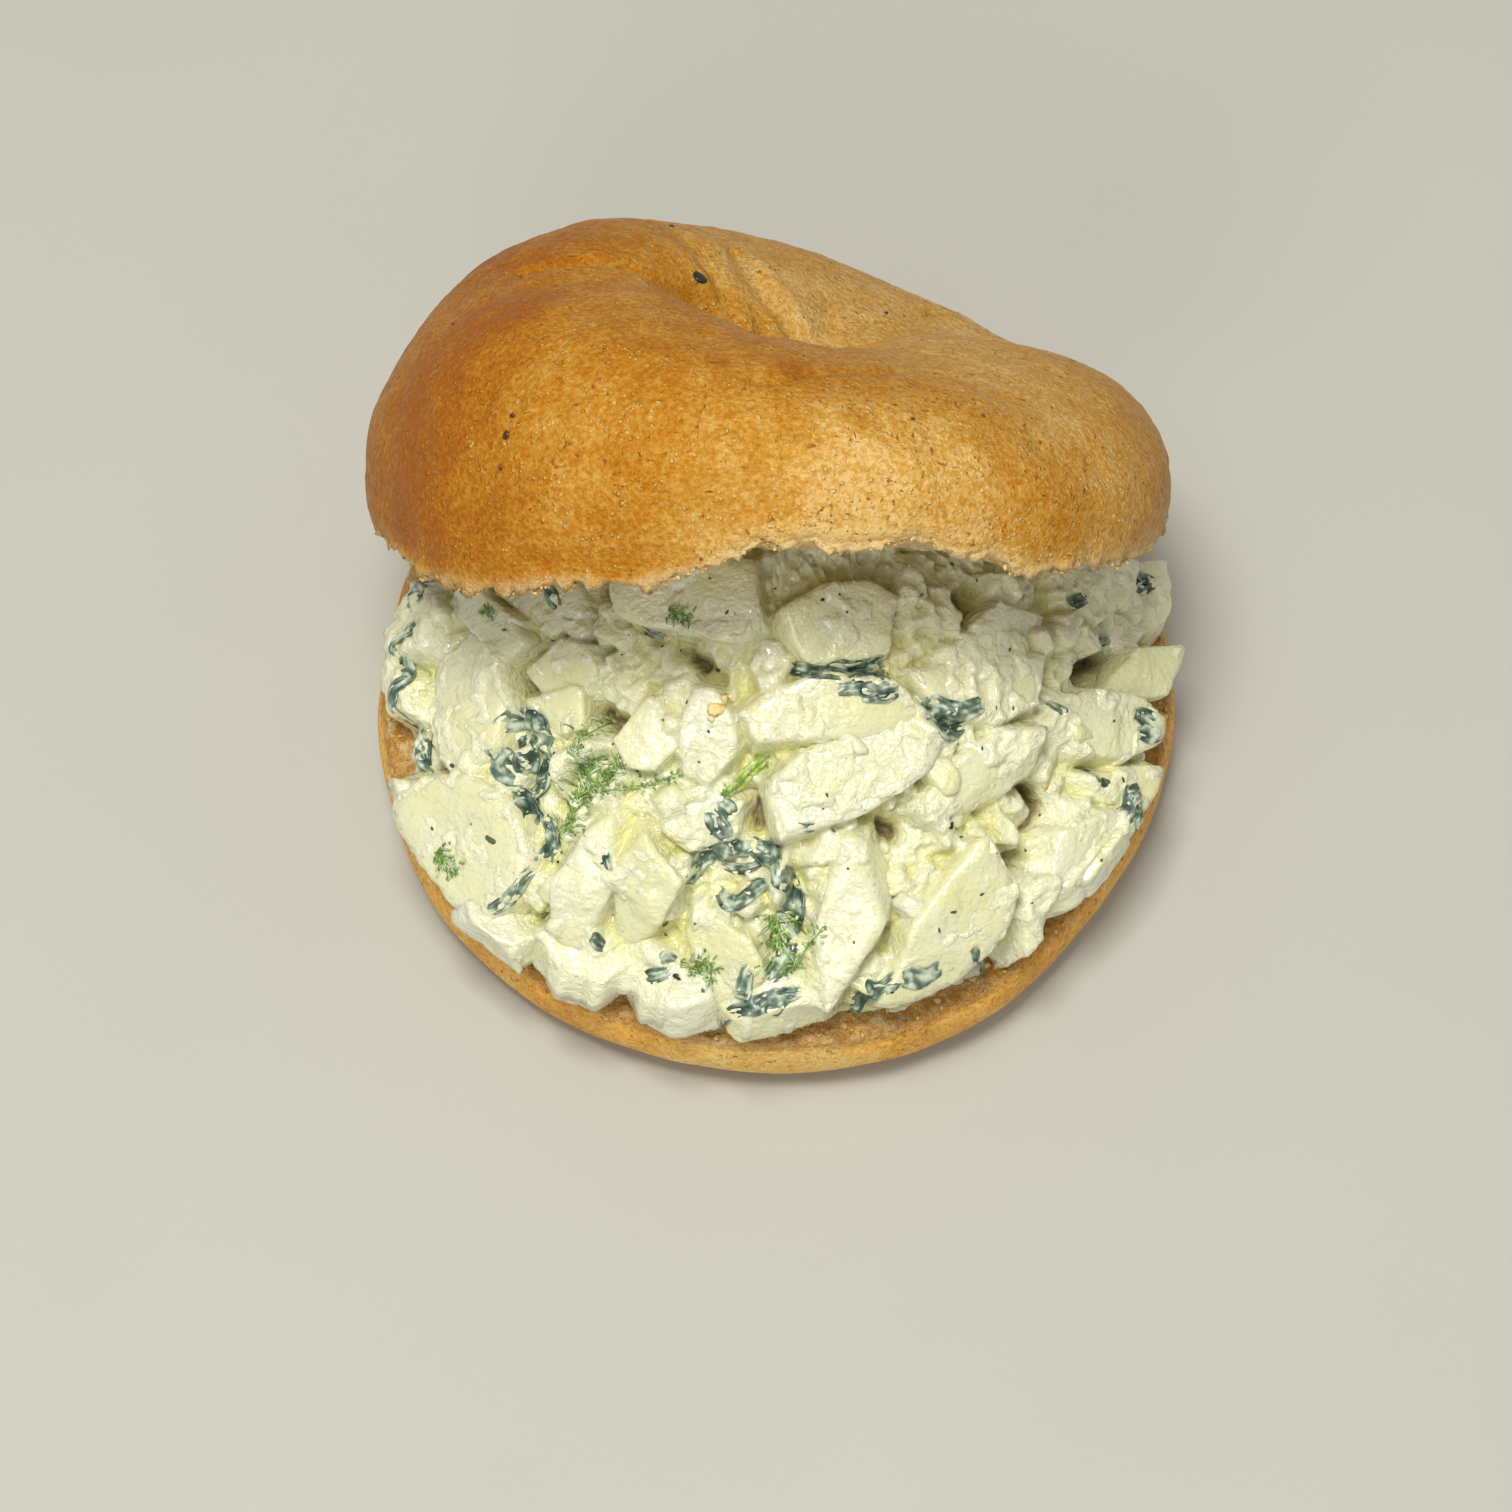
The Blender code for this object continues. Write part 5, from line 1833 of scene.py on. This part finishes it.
    def build(self, upper: UpperHalf, finishes: dict[str, Material]) -> None:
        """Make the leaf shreds, the dill, the bright sliver, the specks and the yolk.

        Args:
            upper: the half that a few flakes stick to.
            finishes: the finishes by name: leaf, dill, stem, speck, yolk and scorch.
        """
        ribbons = [self.ribbon(strip, k) for k, strip in enumerate(STRIPS)]
        fronds = [self.frond(frond, k) for k, frond in enumerate(FRONDS)]
        for name, shape, finish, slot in (
            ("leaf_shreds", joined(ribbons), "leaf", Slot.SALAD),
            ("dill_fronds", joined(fronds), "dill", Slot.SALAD),
            ("stem_sliver", self.ribbon(SLIVER, 90), "stem", Slot.SALAD),
            ("pepper_specks", self.specks(), "speck", Slot.SALAD),
            ("yolk_bits", self.yolk(), "yolk", Slot.SALAD),
            ("crust_flakes", self.crust_flakes(upper, CRUST_FLAKES), "speck", Slot.UPPER),
            ("scorched_flakes", self.crust_flakes(upper, SCORCHED_FLAKES), "scorch", Slot.UPPER),
        ):
            present(shape.to_object(name, finishes[finish]), slot)


@dataclass
class Crumbs:
    """Loose and clinging crumbs of bread along the torn edge and the cut rims, and dabs of dressing.

    torn, toasted, dabbed: how many crumbs and dabs there are
    """

    upper: UpperHalf
    lower: LowerHalf
    torn: int = 1100
    toasted: int = 260
    dabbed: int = 46
    noise: Noise = field(default_factory=lambda: Noise(SEED + 6))

    def lump(self, place: Array, size: float, rng: np.random.Generator, index: int) -> Shape:
        """Work out a ragged lump: a ball with noise on its radius, stretched by the draw.

        Args:
            place: its middle.
            size: its rough radius.
            rng: the draw.
            index: its number, which moves it in the noise.

        Returns:
            The lump.
        """
        directions, faces = cube_ball(2)
        rough = 1.0 + 0.7 * self.noise.at(directions + index * 3.3, 0.6)
        stretch = rng.uniform(0.45, 1.4, 3)
        return Shape(place + directions * rough[:, None] * stretch * size, faces,
                     {"tone": np.full(len(directions), rng.uniform(0.0, 1.0))})

    def torn_edge(self) -> list[Shape]:
        """Crumbs that cling to the upper half's front edge."""
        rng = np.random.default_rng(SEED + 7)
        parts = []
        for k in range(self.torn):
            angle = math.radians(rng.uniform(-177.0, -3.0))
            at = np.array([angle])
            lift = float(self.upper.rim_lift(at)[0] + self.upper.raggedness(at)[0])
            inward = abs(rng.normal(0.0, 0.6))
            radius = float(self.upper.outline(at)[0]) - self.upper.edge_inset - inward - 0.25
            height = lift + rng.uniform(-0.15, 0.5)
            place = self.upper.place(np.array(radius * math.cos(angle)), np.array(radius * math.sin(angle)),
                                     np.array(height))
            parts.append(self.lump(place, rng.uniform(0.1, 0.3), rng, k))
        return parts

    def lower_rim(self) -> list[Shape]:
        """Toasted crumbs on the lower half's cut rim."""
        rng = np.random.default_rng(SEED + 8)
        parts = []
        for k in range(self.toasted):
            angle = rng.uniform(-math.pi, math.pi)
            radius = float(self.lower.outline(np.array(angle))) - rng.uniform(1.2, 4.5)
            place = np.array((radius * math.cos(angle), radius * math.sin(angle), self.lower.cut_z - 0.1))
            parts.append(self.lump(place, rng.uniform(0.2, 0.5), rng, 600 + k))
        return parts

    def dabs(self) -> Shape:
        """Dabs of dressing on the toasted face beside the heap."""
        rng = np.random.default_rng(SEED + 11)
        parts = []
        for _ in range(self.dabbed):
            angle = rng.uniform(-math.pi, math.pi)
            radius = float(self.lower.outline(np.array(angle))) - 3.0 - 4.0 * rng.uniform(0.0, 1.0) ** 0.6
            place = np.array((radius * math.cos(angle), radius * math.sin(angle), self.lower.cut_z - 0.12))
            size = rng.uniform(0.8, 1.8)
            stretch = (size * rng.uniform(1.0, 1.7), size, rng.uniform(0.2, 0.34))
            parts.append(flake(place, np.array((0.0, 0.0, 1.0)), stretch, rng, 6, 0.07))
        return joined(parts)

    def build(self, finish: Material, cream: Material) -> None:
        """Make the two sets of crumbs and the dabs of dressing."""
        present(self.dabs().to_object("dressing_dabs", cream), Slot.SALAD)
        for name, parts, slot in (
            ("torn_crumbs", self.torn_edge(), Slot.UPPER),
            ("toasted_crumbs", self.lower_rim(), Slot.LOWER),
        ):
            present(joined(parts).to_object(name, finish), slot)


class Sketch:
    """A node tree under construction, with short calls for the nodes that the finishes share."""

    def __init__(self, name: str) -> None:
        """Start a material with its Principled BSDF."""
        self.material = bpy.data.materials.new(name)
        self.material.use_nodes = True
        self.tree = self.material.node_tree
        self.shader = self.tree.nodes["Principled BSDF"]
        self.place = self.tree.nodes.new("ShaderNodeTexCoord").outputs["Object"]

    def link(self, source: NodeSocket, target: NodeSocket) -> None:
        """Join two sockets."""
        self.tree.links.new(source, target)

    def put(self, value: object, target: NodeSocket) -> None:
        """Feed a socket from another socket or set it to a number or colour."""
        if isinstance(value, NodeSocket):
            self.link(value, target)
        else:
            target.default_value = value

    def add(self, kind: str, **inputs: object) -> Node:
        """Add a node and feed its inputs, named with underscores for spaces."""
        node = self.tree.nodes.new("ShaderNode" + kind)
        for name, value in inputs.items():
            self.put(value, node.inputs[name.replace("_", " ")])
        return node

    def noise(self, size: float, detail: float = 2.0, roughness: float = 0.5,
              squash: tuple[float, float, float] = (1.0, 1.0, 1.0)) -> NodeSocket:
        """Noise over the piece's own coordinates; size is its feature size in millimetres."""
        place = self.place
        if squash != (1.0, 1.0, 1.0):
            place = self.add("Mapping", Scale=squash, Vector=place).outputs["Vector"]
        node = self.add("TexNoise", Scale=1.0 / (size * MM), Detail=detail, Roughness=roughness, Vector=place)
        return node.outputs["Fac"]

    def cells(self, size: float) -> NodeSocket:
        """Distance to the nearest of scattered seeds about size millimetres apart."""
        return self.add("TexVoronoi", Scale=1.0 / (size * MM), Vector=self.place).outputs["Distance"]

    def value(self, name: str) -> NodeSocket:
        """A value kept at the mesh's points."""
        node = self.add("Attribute")
        node.attribute_name = name
        return node.outputs["Fac"]

    def math(self, operation: str, a: object, b: object = 0.0) -> NodeSocket:
        """One sum, product or other operation on two numbers."""
        node = self.add("Math")
        node.operation = operation
        self.put(a, node.inputs[0])
        self.put(b, node.inputs[1])
        return node.outputs["Value"]

    def between(self, value: object, low: float, high: float,
                to_low: float = 0.0, to_high: float = 1.0) -> NodeSocket:
        """Rescale a number smoothly from low and high to new ends."""
        node = self.add("MapRange", Value=value, From_Min=low, From_Max=high, To_Min=to_low, To_Max=to_high)
        node.interpolation_type = "SMOOTHSTEP"
        return node.outputs["Result"]

    def mix(self, share: object, a: object, b: object) -> NodeSocket:
        """Blend two colours."""
        node = self.add("Mix", Factor=share)
        node.data_type = "RGBA"
        for value, name in ((a, "A"), (b, "B")):
            self.put(value, next(s for s in node.inputs if s.name == name and s.type == "RGBA"))
        return next(s for s in node.outputs if s.type == "RGBA")

    def ramp(self, share: object, stops: Sequence[tuple[float, Colour]]) -> NodeSocket:
        """Colour along a row of stops."""
        node = self.add("ValToRGB", Fac=share)
        marks = node.color_ramp.elements
        while len(marks) < len(stops):
            marks.new(0.5)
        for mark, (at, colour) in zip(marks, stops):
            mark.position = at
            mark.color = linear(colour)
        return node.outputs["Color"]

    def bump(self, height: NodeSocket, depth: float, strength: float = 1.0,
             under: NodeSocket | None = None) -> NodeSocket:
        """Fine relief of the given depth, in millimetres."""
        node = self.add("Bump", Strength=strength, Distance=depth * MM, Height=height)
        if under is not None:
            self.link(under, node.inputs["Normal"])
        return node.outputs["Normal"]

    def set(self, **numbers: object) -> None:
        """Set the shader's own sockets, named with underscores for spaces."""
        for name, number in numbers.items():
            self.put(number, self.shader.inputs[name.replace("_", " ")])


@dataclass(frozen=True)
class BreadFinish:
    """Boiled and baked crust, and the crumb where the bagel was cut or torn.

    stops: colours of the crust from pale to deep brown
    crumb_pale, crumb_toasted: colours of the cut face
    fleck, smear: colours of the bran flecks in the crust and of dressing on the crumb
    """

    name: str
    stops: tuple[tuple[float, Colour], ...]
    crumb_pale: Colour
    crumb_toasted: Colour
    fleck: Colour = (0.50, 0.28, 0.07)
    smear: Colour = (0.93, 0.90, 0.74)
    roughness: float = 0.4

    def build(self) -> Material:
        """Make the material: colour by baking, flecks, raised pale spots that are partly painted glints, and
        a fine leathery relief.
        """
        s = Sketch(self.name)
        baked = s.value("baked")
        crumb = s.value("crumb")
        tone = s.math("ADD", baked, s.between(s.noise(5.0, 4.0, 0.6), 0.3, 0.7, -0.1, 0.1))
        grain = s.noise(0.8, 5.0, 0.75)
        tone = s.math("ADD", tone, s.between(grain, 0.3, 0.7, -0.28, 0.28))
        patchy = s.between(s.noise(4.0, 2.0), 0.4, 0.6)
        blisters_and_glints = s.math("MULTIPLY", s.between(s.cells(1.0), 0.14, 0.34, 1.0, 0.0), patchy)
        # the raised spots are lightened in colour: partly the crust's own pale blisters, partly painted
        # glints
        tone = s.math("SUBTRACT", tone, s.math("MULTIPLY", blisters_and_glints, 0.42))
        crust = s.ramp(tone, self.stops)
        patches = s.between(s.noise(6.0, 2.0), 0.35, 0.6, 0.2, 0.9)
        for squash in ((1.5, 0.55, 1.0), (0.6, 1.5, 0.8)):
            flecks = s.between(s.noise(1.0, 2.0, 0.6, squash), 0.645, 0.70)
            crust = s.mix(s.math("MULTIPLY", flecks, patches), crust, linear(self.fleck))
        pores = s.noise(1.2, 4.0, 0.75)
        toast = s.math("ADD", s.math("MULTIPLY", baked, 0.8), s.between(pores, 0.3, 0.7, -0.35, 0.35))
        inner = s.ramp(toast, ((0.1, self.crumb_pale), (0.85, self.crumb_toasted)))
        smear = s.math("MULTIPLY", s.value("smear"), s.between(s.noise(2.5, 4.0, 0.65), 0.45, 0.62))
        inner = s.mix(s.between(smear, 0.25, 0.5, 0.0, 0.5), inner, linear(self.smear))
        s.set(Base_Color=s.mix(crumb, crust, inner))
        rough = s.between(s.noise(2.0, 3.0), 0.3, 0.7, self.roughness - 0.08, self.roughness + 0.1)
        s.set(Roughness=s.math("ADD", rough, s.math("MULTIPLY", crumb, 0.35)))
        s.set(Specular_IOR_Level=0.16)
        leather = s.bump(s.noise(1.3, 6.0, 0.72), 0.7, 0.8)
        raised = s.bump(blisters_and_glints, 0.22, 0.9, leather)
        pits = s.bump(s.cells(0.5), 0.12, 0.6, raised)
        open_crumb = s.bump(s.math("MULTIPLY", pores, crumb), 1.2, 1.0, pits)
        s.set(Normal=open_crumb)
        return s.material


@dataclass(frozen=True)
class CreamFinish:
    """Mayonnaise dressing: ivory on its ridges, yellower where it lies deep and a little darker there as
    painted shade, and painted dark in the gaps.
    """

    ridge: Colour = (0.91, 0.91, 0.76)
    # yellow of the dressing where it pools, a little darker than the ridges as painted shade
    deep: Colour = (0.885, 0.87, 0.58)
    # painted shade colour for the floors of the gaps between the pieces
    painted_gap_shade: Colour = (0.50, 0.43, 0.24)

    def build(self) -> Material:
        """Make the material, with fine whipped ridges in its relief."""
        s = Sketch("cream_dressing")
        # partly the dressing's own yellow where it pools, partly painted shade in the hollows
        depth = s.math("ADD", s.value("valley"), s.between(s.noise(7.0, 3.0), 0.3, 0.7, -0.25, 0.25))
        colour = s.ramp(depth, ((0.42, self.ridge), (1.0, self.deep)))
        # painted shade: mix towards the dark colour down in the gaps
        s.set(Base_Color=s.mix(s.value("painted_gap_shade"), colour, linear(self.painted_gap_shade)))
        s.set(Roughness=s.between(s.noise(1.2, 3.0), 0.3, 0.7, 0.08, 0.22))
        s.set(Specular_IOR_Level=0.95, Subsurface_Weight=0.2, Coat_Weight=0.6, Coat_Roughness=0.06)
        s.set(Subsurface_Radius=(1.0, 0.85, 0.45), Subsurface_Scale=1.2 * MM)
        whipped = s.bump(s.noise(1.7, 5.0, 0.62, (1.0, 1.0, 1.6)), 1.1, 0.8)
        s.set(Normal=s.bump(s.noise(0.7, 2.0), 0.3, 0.75, whipped))
        return s.material


@dataclass(frozen=True)
class EggWhiteFinish:
    """Boiled egg white: smooth, wet and a little see-through."""

    white: Colour = (0.885, 0.89, 0.785)
    shade: Colour = (0.875, 0.87, 0.66)

    def build(self) -> Material:
        """Make the material, with thin smears of dressing in its colour."""
        s = Sketch("egg_white")
        tone = s.math("ADD", s.math("MULTIPLY", s.value("tone"), 0.5), s.noise(6.0, 3.0))
        s.set(Base_Color=s.ramp(tone, ((0.4, self.white), (1.1, self.shade))))
        s.set(Roughness=s.between(s.noise(1.5, 3.0), 0.35, 0.65, 0.06, 0.2))
        s.set(Specular_IOR_Level=0.95, Subsurface_Weight=0.25, Coat_Weight=0.6, Coat_Roughness=0.05)
        s.set(Subsurface_Radius=(1.0, 0.95, 0.7), Subsurface_Scale=1.6 * MM)
        soft = s.bump(s.noise(2.8, 5.0, 0.58, (1.0, 1.5, 1.0)), 1.0, 0.7)
        s.set(Normal=s.bump(s.noise(0.8, 2.0), 0.3, 0.75, soft))
        return s.material


@dataclass(frozen=True)
class LeafFinish:
    """Two tones over fine veins, with streaks of dressing: leaf, dill, pepper, yolk or scorched crust."""

    name: str
    dark: Colour
    light: Colour
    cream: float
    streak: Colour = (0.82, 0.86, 0.76)

    def build(self) -> Material:
        """Make the material."""
        s = Sketch(self.name)
        veins = s.noise(2.0, 2.0, 0.5, (1.0, 1.0, 0.6))
        height = s.math("ADD", veins, s.math("MULTIPLY", s.value("tone"), 0.5))
        colour = s.ramp(height, ((0.58, self.dark), (0.86, self.light)))
        smears = s.between(height, 0.74, 1.04, 0.0, self.cream)
        s.set(Base_Color=s.mix(smears, colour, linear(self.streak)))
        s.set(Roughness=s.between(veins, 0.3, 0.7, 0.22, 0.42))
        s.set(Normal=s.bump(veins, 0.3, 0.7))
        return s.material


@dataclass(frozen=True)
class CrumbFinish:
    """Small bread crumbs, from pale to toasted by their own tone."""

    pale: Colour = (0.91, 0.79, 0.52)
    toasted: Colour = (0.81, 0.62, 0.32)

    def build(self) -> Material:
        """Make the material."""
        s = Sketch("loose_crumb")
        grain = s.between(s.noise(0.8), 0.3, 0.7, -0.1, 0.3)
        tone = s.math("ADD", s.math("MULTIPLY", s.value("tone"), 0.7), grain)
        s.set(Base_Color=s.ramp(tone, ((0.1, self.pale), (0.9, self.toasted))), Roughness=0.9)
        s.set(Specular_IOR_Level=0.1)
        s.set(Normal=s.bump(s.noise(0.5, 3.0, 0.6), 0.3, 0.8))
        return s.material


@dataclass(frozen=True)
class Studio:
    """Floor, lights and camera.

    The camera looks down by elevation, in degrees, from the front, and the middle of the
    lower half's cut face is seen at centre_px of a square picture of side_px.
    The floor's half width and the place that the lights look at are in metres.
    """

    elevation: float = 63.0
    distance: float = 690.0
    side_px: float = 1512.0
    px_per_mm: float = 6.9
    centre_px: tuple[float, float] = (774.0, 690.0)
    axis_z: float = 15.0
    sensor: float = 36.0
    floor_half: float = 1.5
    floor_tones: tuple[Colour, Colour] = ((0.70, 0.697, 0.66), (0.715, 0.712, 0.675))
    aim: tuple[float, float, float] = (0.0, 0.0, 0.03)
    sky_colour: Colour = (1.0, 0.98, 0.94)
    sky_strength: float = 0.43

    def camera(self) -> None:
        """Make the camera; its focal length is sensor * distance * px_per_mm / side_px."""
        angle = math.radians(self.elevation)
        back = np.array((0.0, -math.cos(angle), math.sin(angle)))
        up = np.array((0.0, math.sin(angle), math.cos(angle)))
        right = np.array((1.0, 0.0, 0.0))
        middle = 0.5 * self.side_px
        aside = (self.centre_px[0] - middle) / self.px_per_mm
        above = (middle - self.centre_px[1]) / self.px_per_mm
        target = np.array((0.0, 0.0, self.axis_z)) - right * aside - up * above
        eye = (target + back * self.distance - ORIGIN) * MM
        data = bpy.data.cameras.new("camera")
        data.sensor_width = self.sensor
        data.lens = self.sensor * self.px_per_mm * self.distance / self.side_px
        data.clip_start = 0.01
        data.clip_end = 20.0
        made = bpy.data.objects.new("camera", data)
        turned = np.column_stack((right, up, back, eye)).tolist()
        made.matrix_world = Matrix((*turned, (0.0, 0.0, 0.0, 1.0)))
        bpy.context.scene.collection.objects.link(made)
        bpy.context.scene.camera = made

    def light(self, name: str, place: tuple[float, float, float], size: float, power: float,
              colour: Colour = (1.0, 1.0, 1.0)) -> None:
        """Add a square soft light that looks at the sandwich.

        Args:
            name: the light's name.
            place: where it stands, in metres.
            size: length of its side, in metres.
            power: its power, in watts.
            colour: its colour.
        """
        data = bpy.data.lights.new(name, "AREA")
        data.size = size
        data.energy = power
        data.color = colour
        made = bpy.data.objects.new(name, data)
        made.location = place
        made.rotation_euler = (Vector(place) - Vector(self.aim)).to_track_quat("Z", "Y").to_euler()
        bpy.context.scene.collection.objects.link(made)

    def build(self) -> None:
        """Make the floor, the lights, the sky and the camera."""
        half = self.floor_half
        mesh = bpy.data.meshes.new("floor")
        corners = [(-half, -half, 0.0), (half, -half, 0.0), (half, half, 0.0), (-half, half, 0.0)]
        mesh.from_pydata(corners, [], [(0, 1, 2, 3)])
        s = Sketch("pale_floor")
        s.set(Base_Color=s.mix(s.noise(60.0, 2.0), *(linear(tone) for tone in self.floor_tones)))
        s.set(Roughness=0.7)
        mesh.materials.append(s.material)
        floor = bpy.data.objects.new("floor", mesh)
        bpy.context.scene.collection.objects.link(floor)
        self.light("key_light", (-0.1, -0.14, 1.0), 0.28, 8.4, (1.0, 0.985, 0.95))
        self.light("front_light", (-0.25, -0.9, 0.7), 0.4, 2.4)
        world = bpy.data.worlds.new("sky")
        world.use_nodes = True
        sky = world.node_tree.nodes["Background"]
        sky.inputs["Color"].default_value = (*self.sky_colour, 1.0)
        sky.inputs["Strength"].default_value = self.sky_strength
        bpy.context.scene.world = world
        bpy.context.scene.view_settings.view_transform = "Standard"
        self.camera()


def main() -> None:
    logging.basicConfig(level=logging.INFO, format="%(name)s: %(message)s")
    crust = BreadFinish(
        "upper_crust_bake",
        ((0.0, (0.87, 0.73, 0.46)), (0.33, (0.78, 0.59, 0.25)), (0.66, (0.71, 0.47, 0.06)),
         (1.0, (0.63, 0.35, 0.0))),
        (0.93, 0.82, 0.58), (0.80, 0.58, 0.28),
    )
    lower_crust = BreadFinish(
        "lower_crust_bake",
        ((0.0, (1.0, 0.88, 0.56)), (0.4, (0.96, 0.73, 0.31)), (1.0, (0.76, 0.46, 0.08))),
        (0.94, 0.82, 0.56), (0.80, 0.57, 0.25),
    )
    upper = UpperHalf()
    lower = LowerHalf()
    upper.build(crust.build())
    lower.build(lower_crust.build())
    heap = Heap(upper)
    cream = CreamFinish().build()
    dressing = Dressing(heap).build(cream)
    eggs = EggPieces(heap)
    eggs.build(EggWhiteFinish().build())
    Herbs(Landing(heap, [*dressing, *eggs.shapes()])).build(upper, {
        "leaf": LeafFinish("dark_leaf", (0.19, 0.27, 0.22), (0.47, 0.55, 0.47), 0.85).build(),
        "dill": LeafFinish("dill_green", (0.40, 0.55, 0.22), (0.68, 0.78, 0.46), 0.9).build(),
        "stem": LeafFinish("stem_green", (0.38, 0.50, 0.12), (0.72, 0.78, 0.35), 0.4).build(),
        "speck": LeafFinish("pepper", (0.12, 0.16, 0.09), (0.33, 0.38, 0.24), 0.0).build(),
        "yolk": LeafFinish("yolk", (0.82, 0.69, 0.34), (0.88, 0.80, 0.52), 0.3).build(),
        "scorch": LeafFinish("scorched_crust", (0.30, 0.13, 0.02), (0.52, 0.29, 0.07), 0.0).build(),
    })
    Crumbs(upper, lower).build(CrumbFinish().build(), cream)
    Studio().build()


if __name__ == "__main__":
    main()
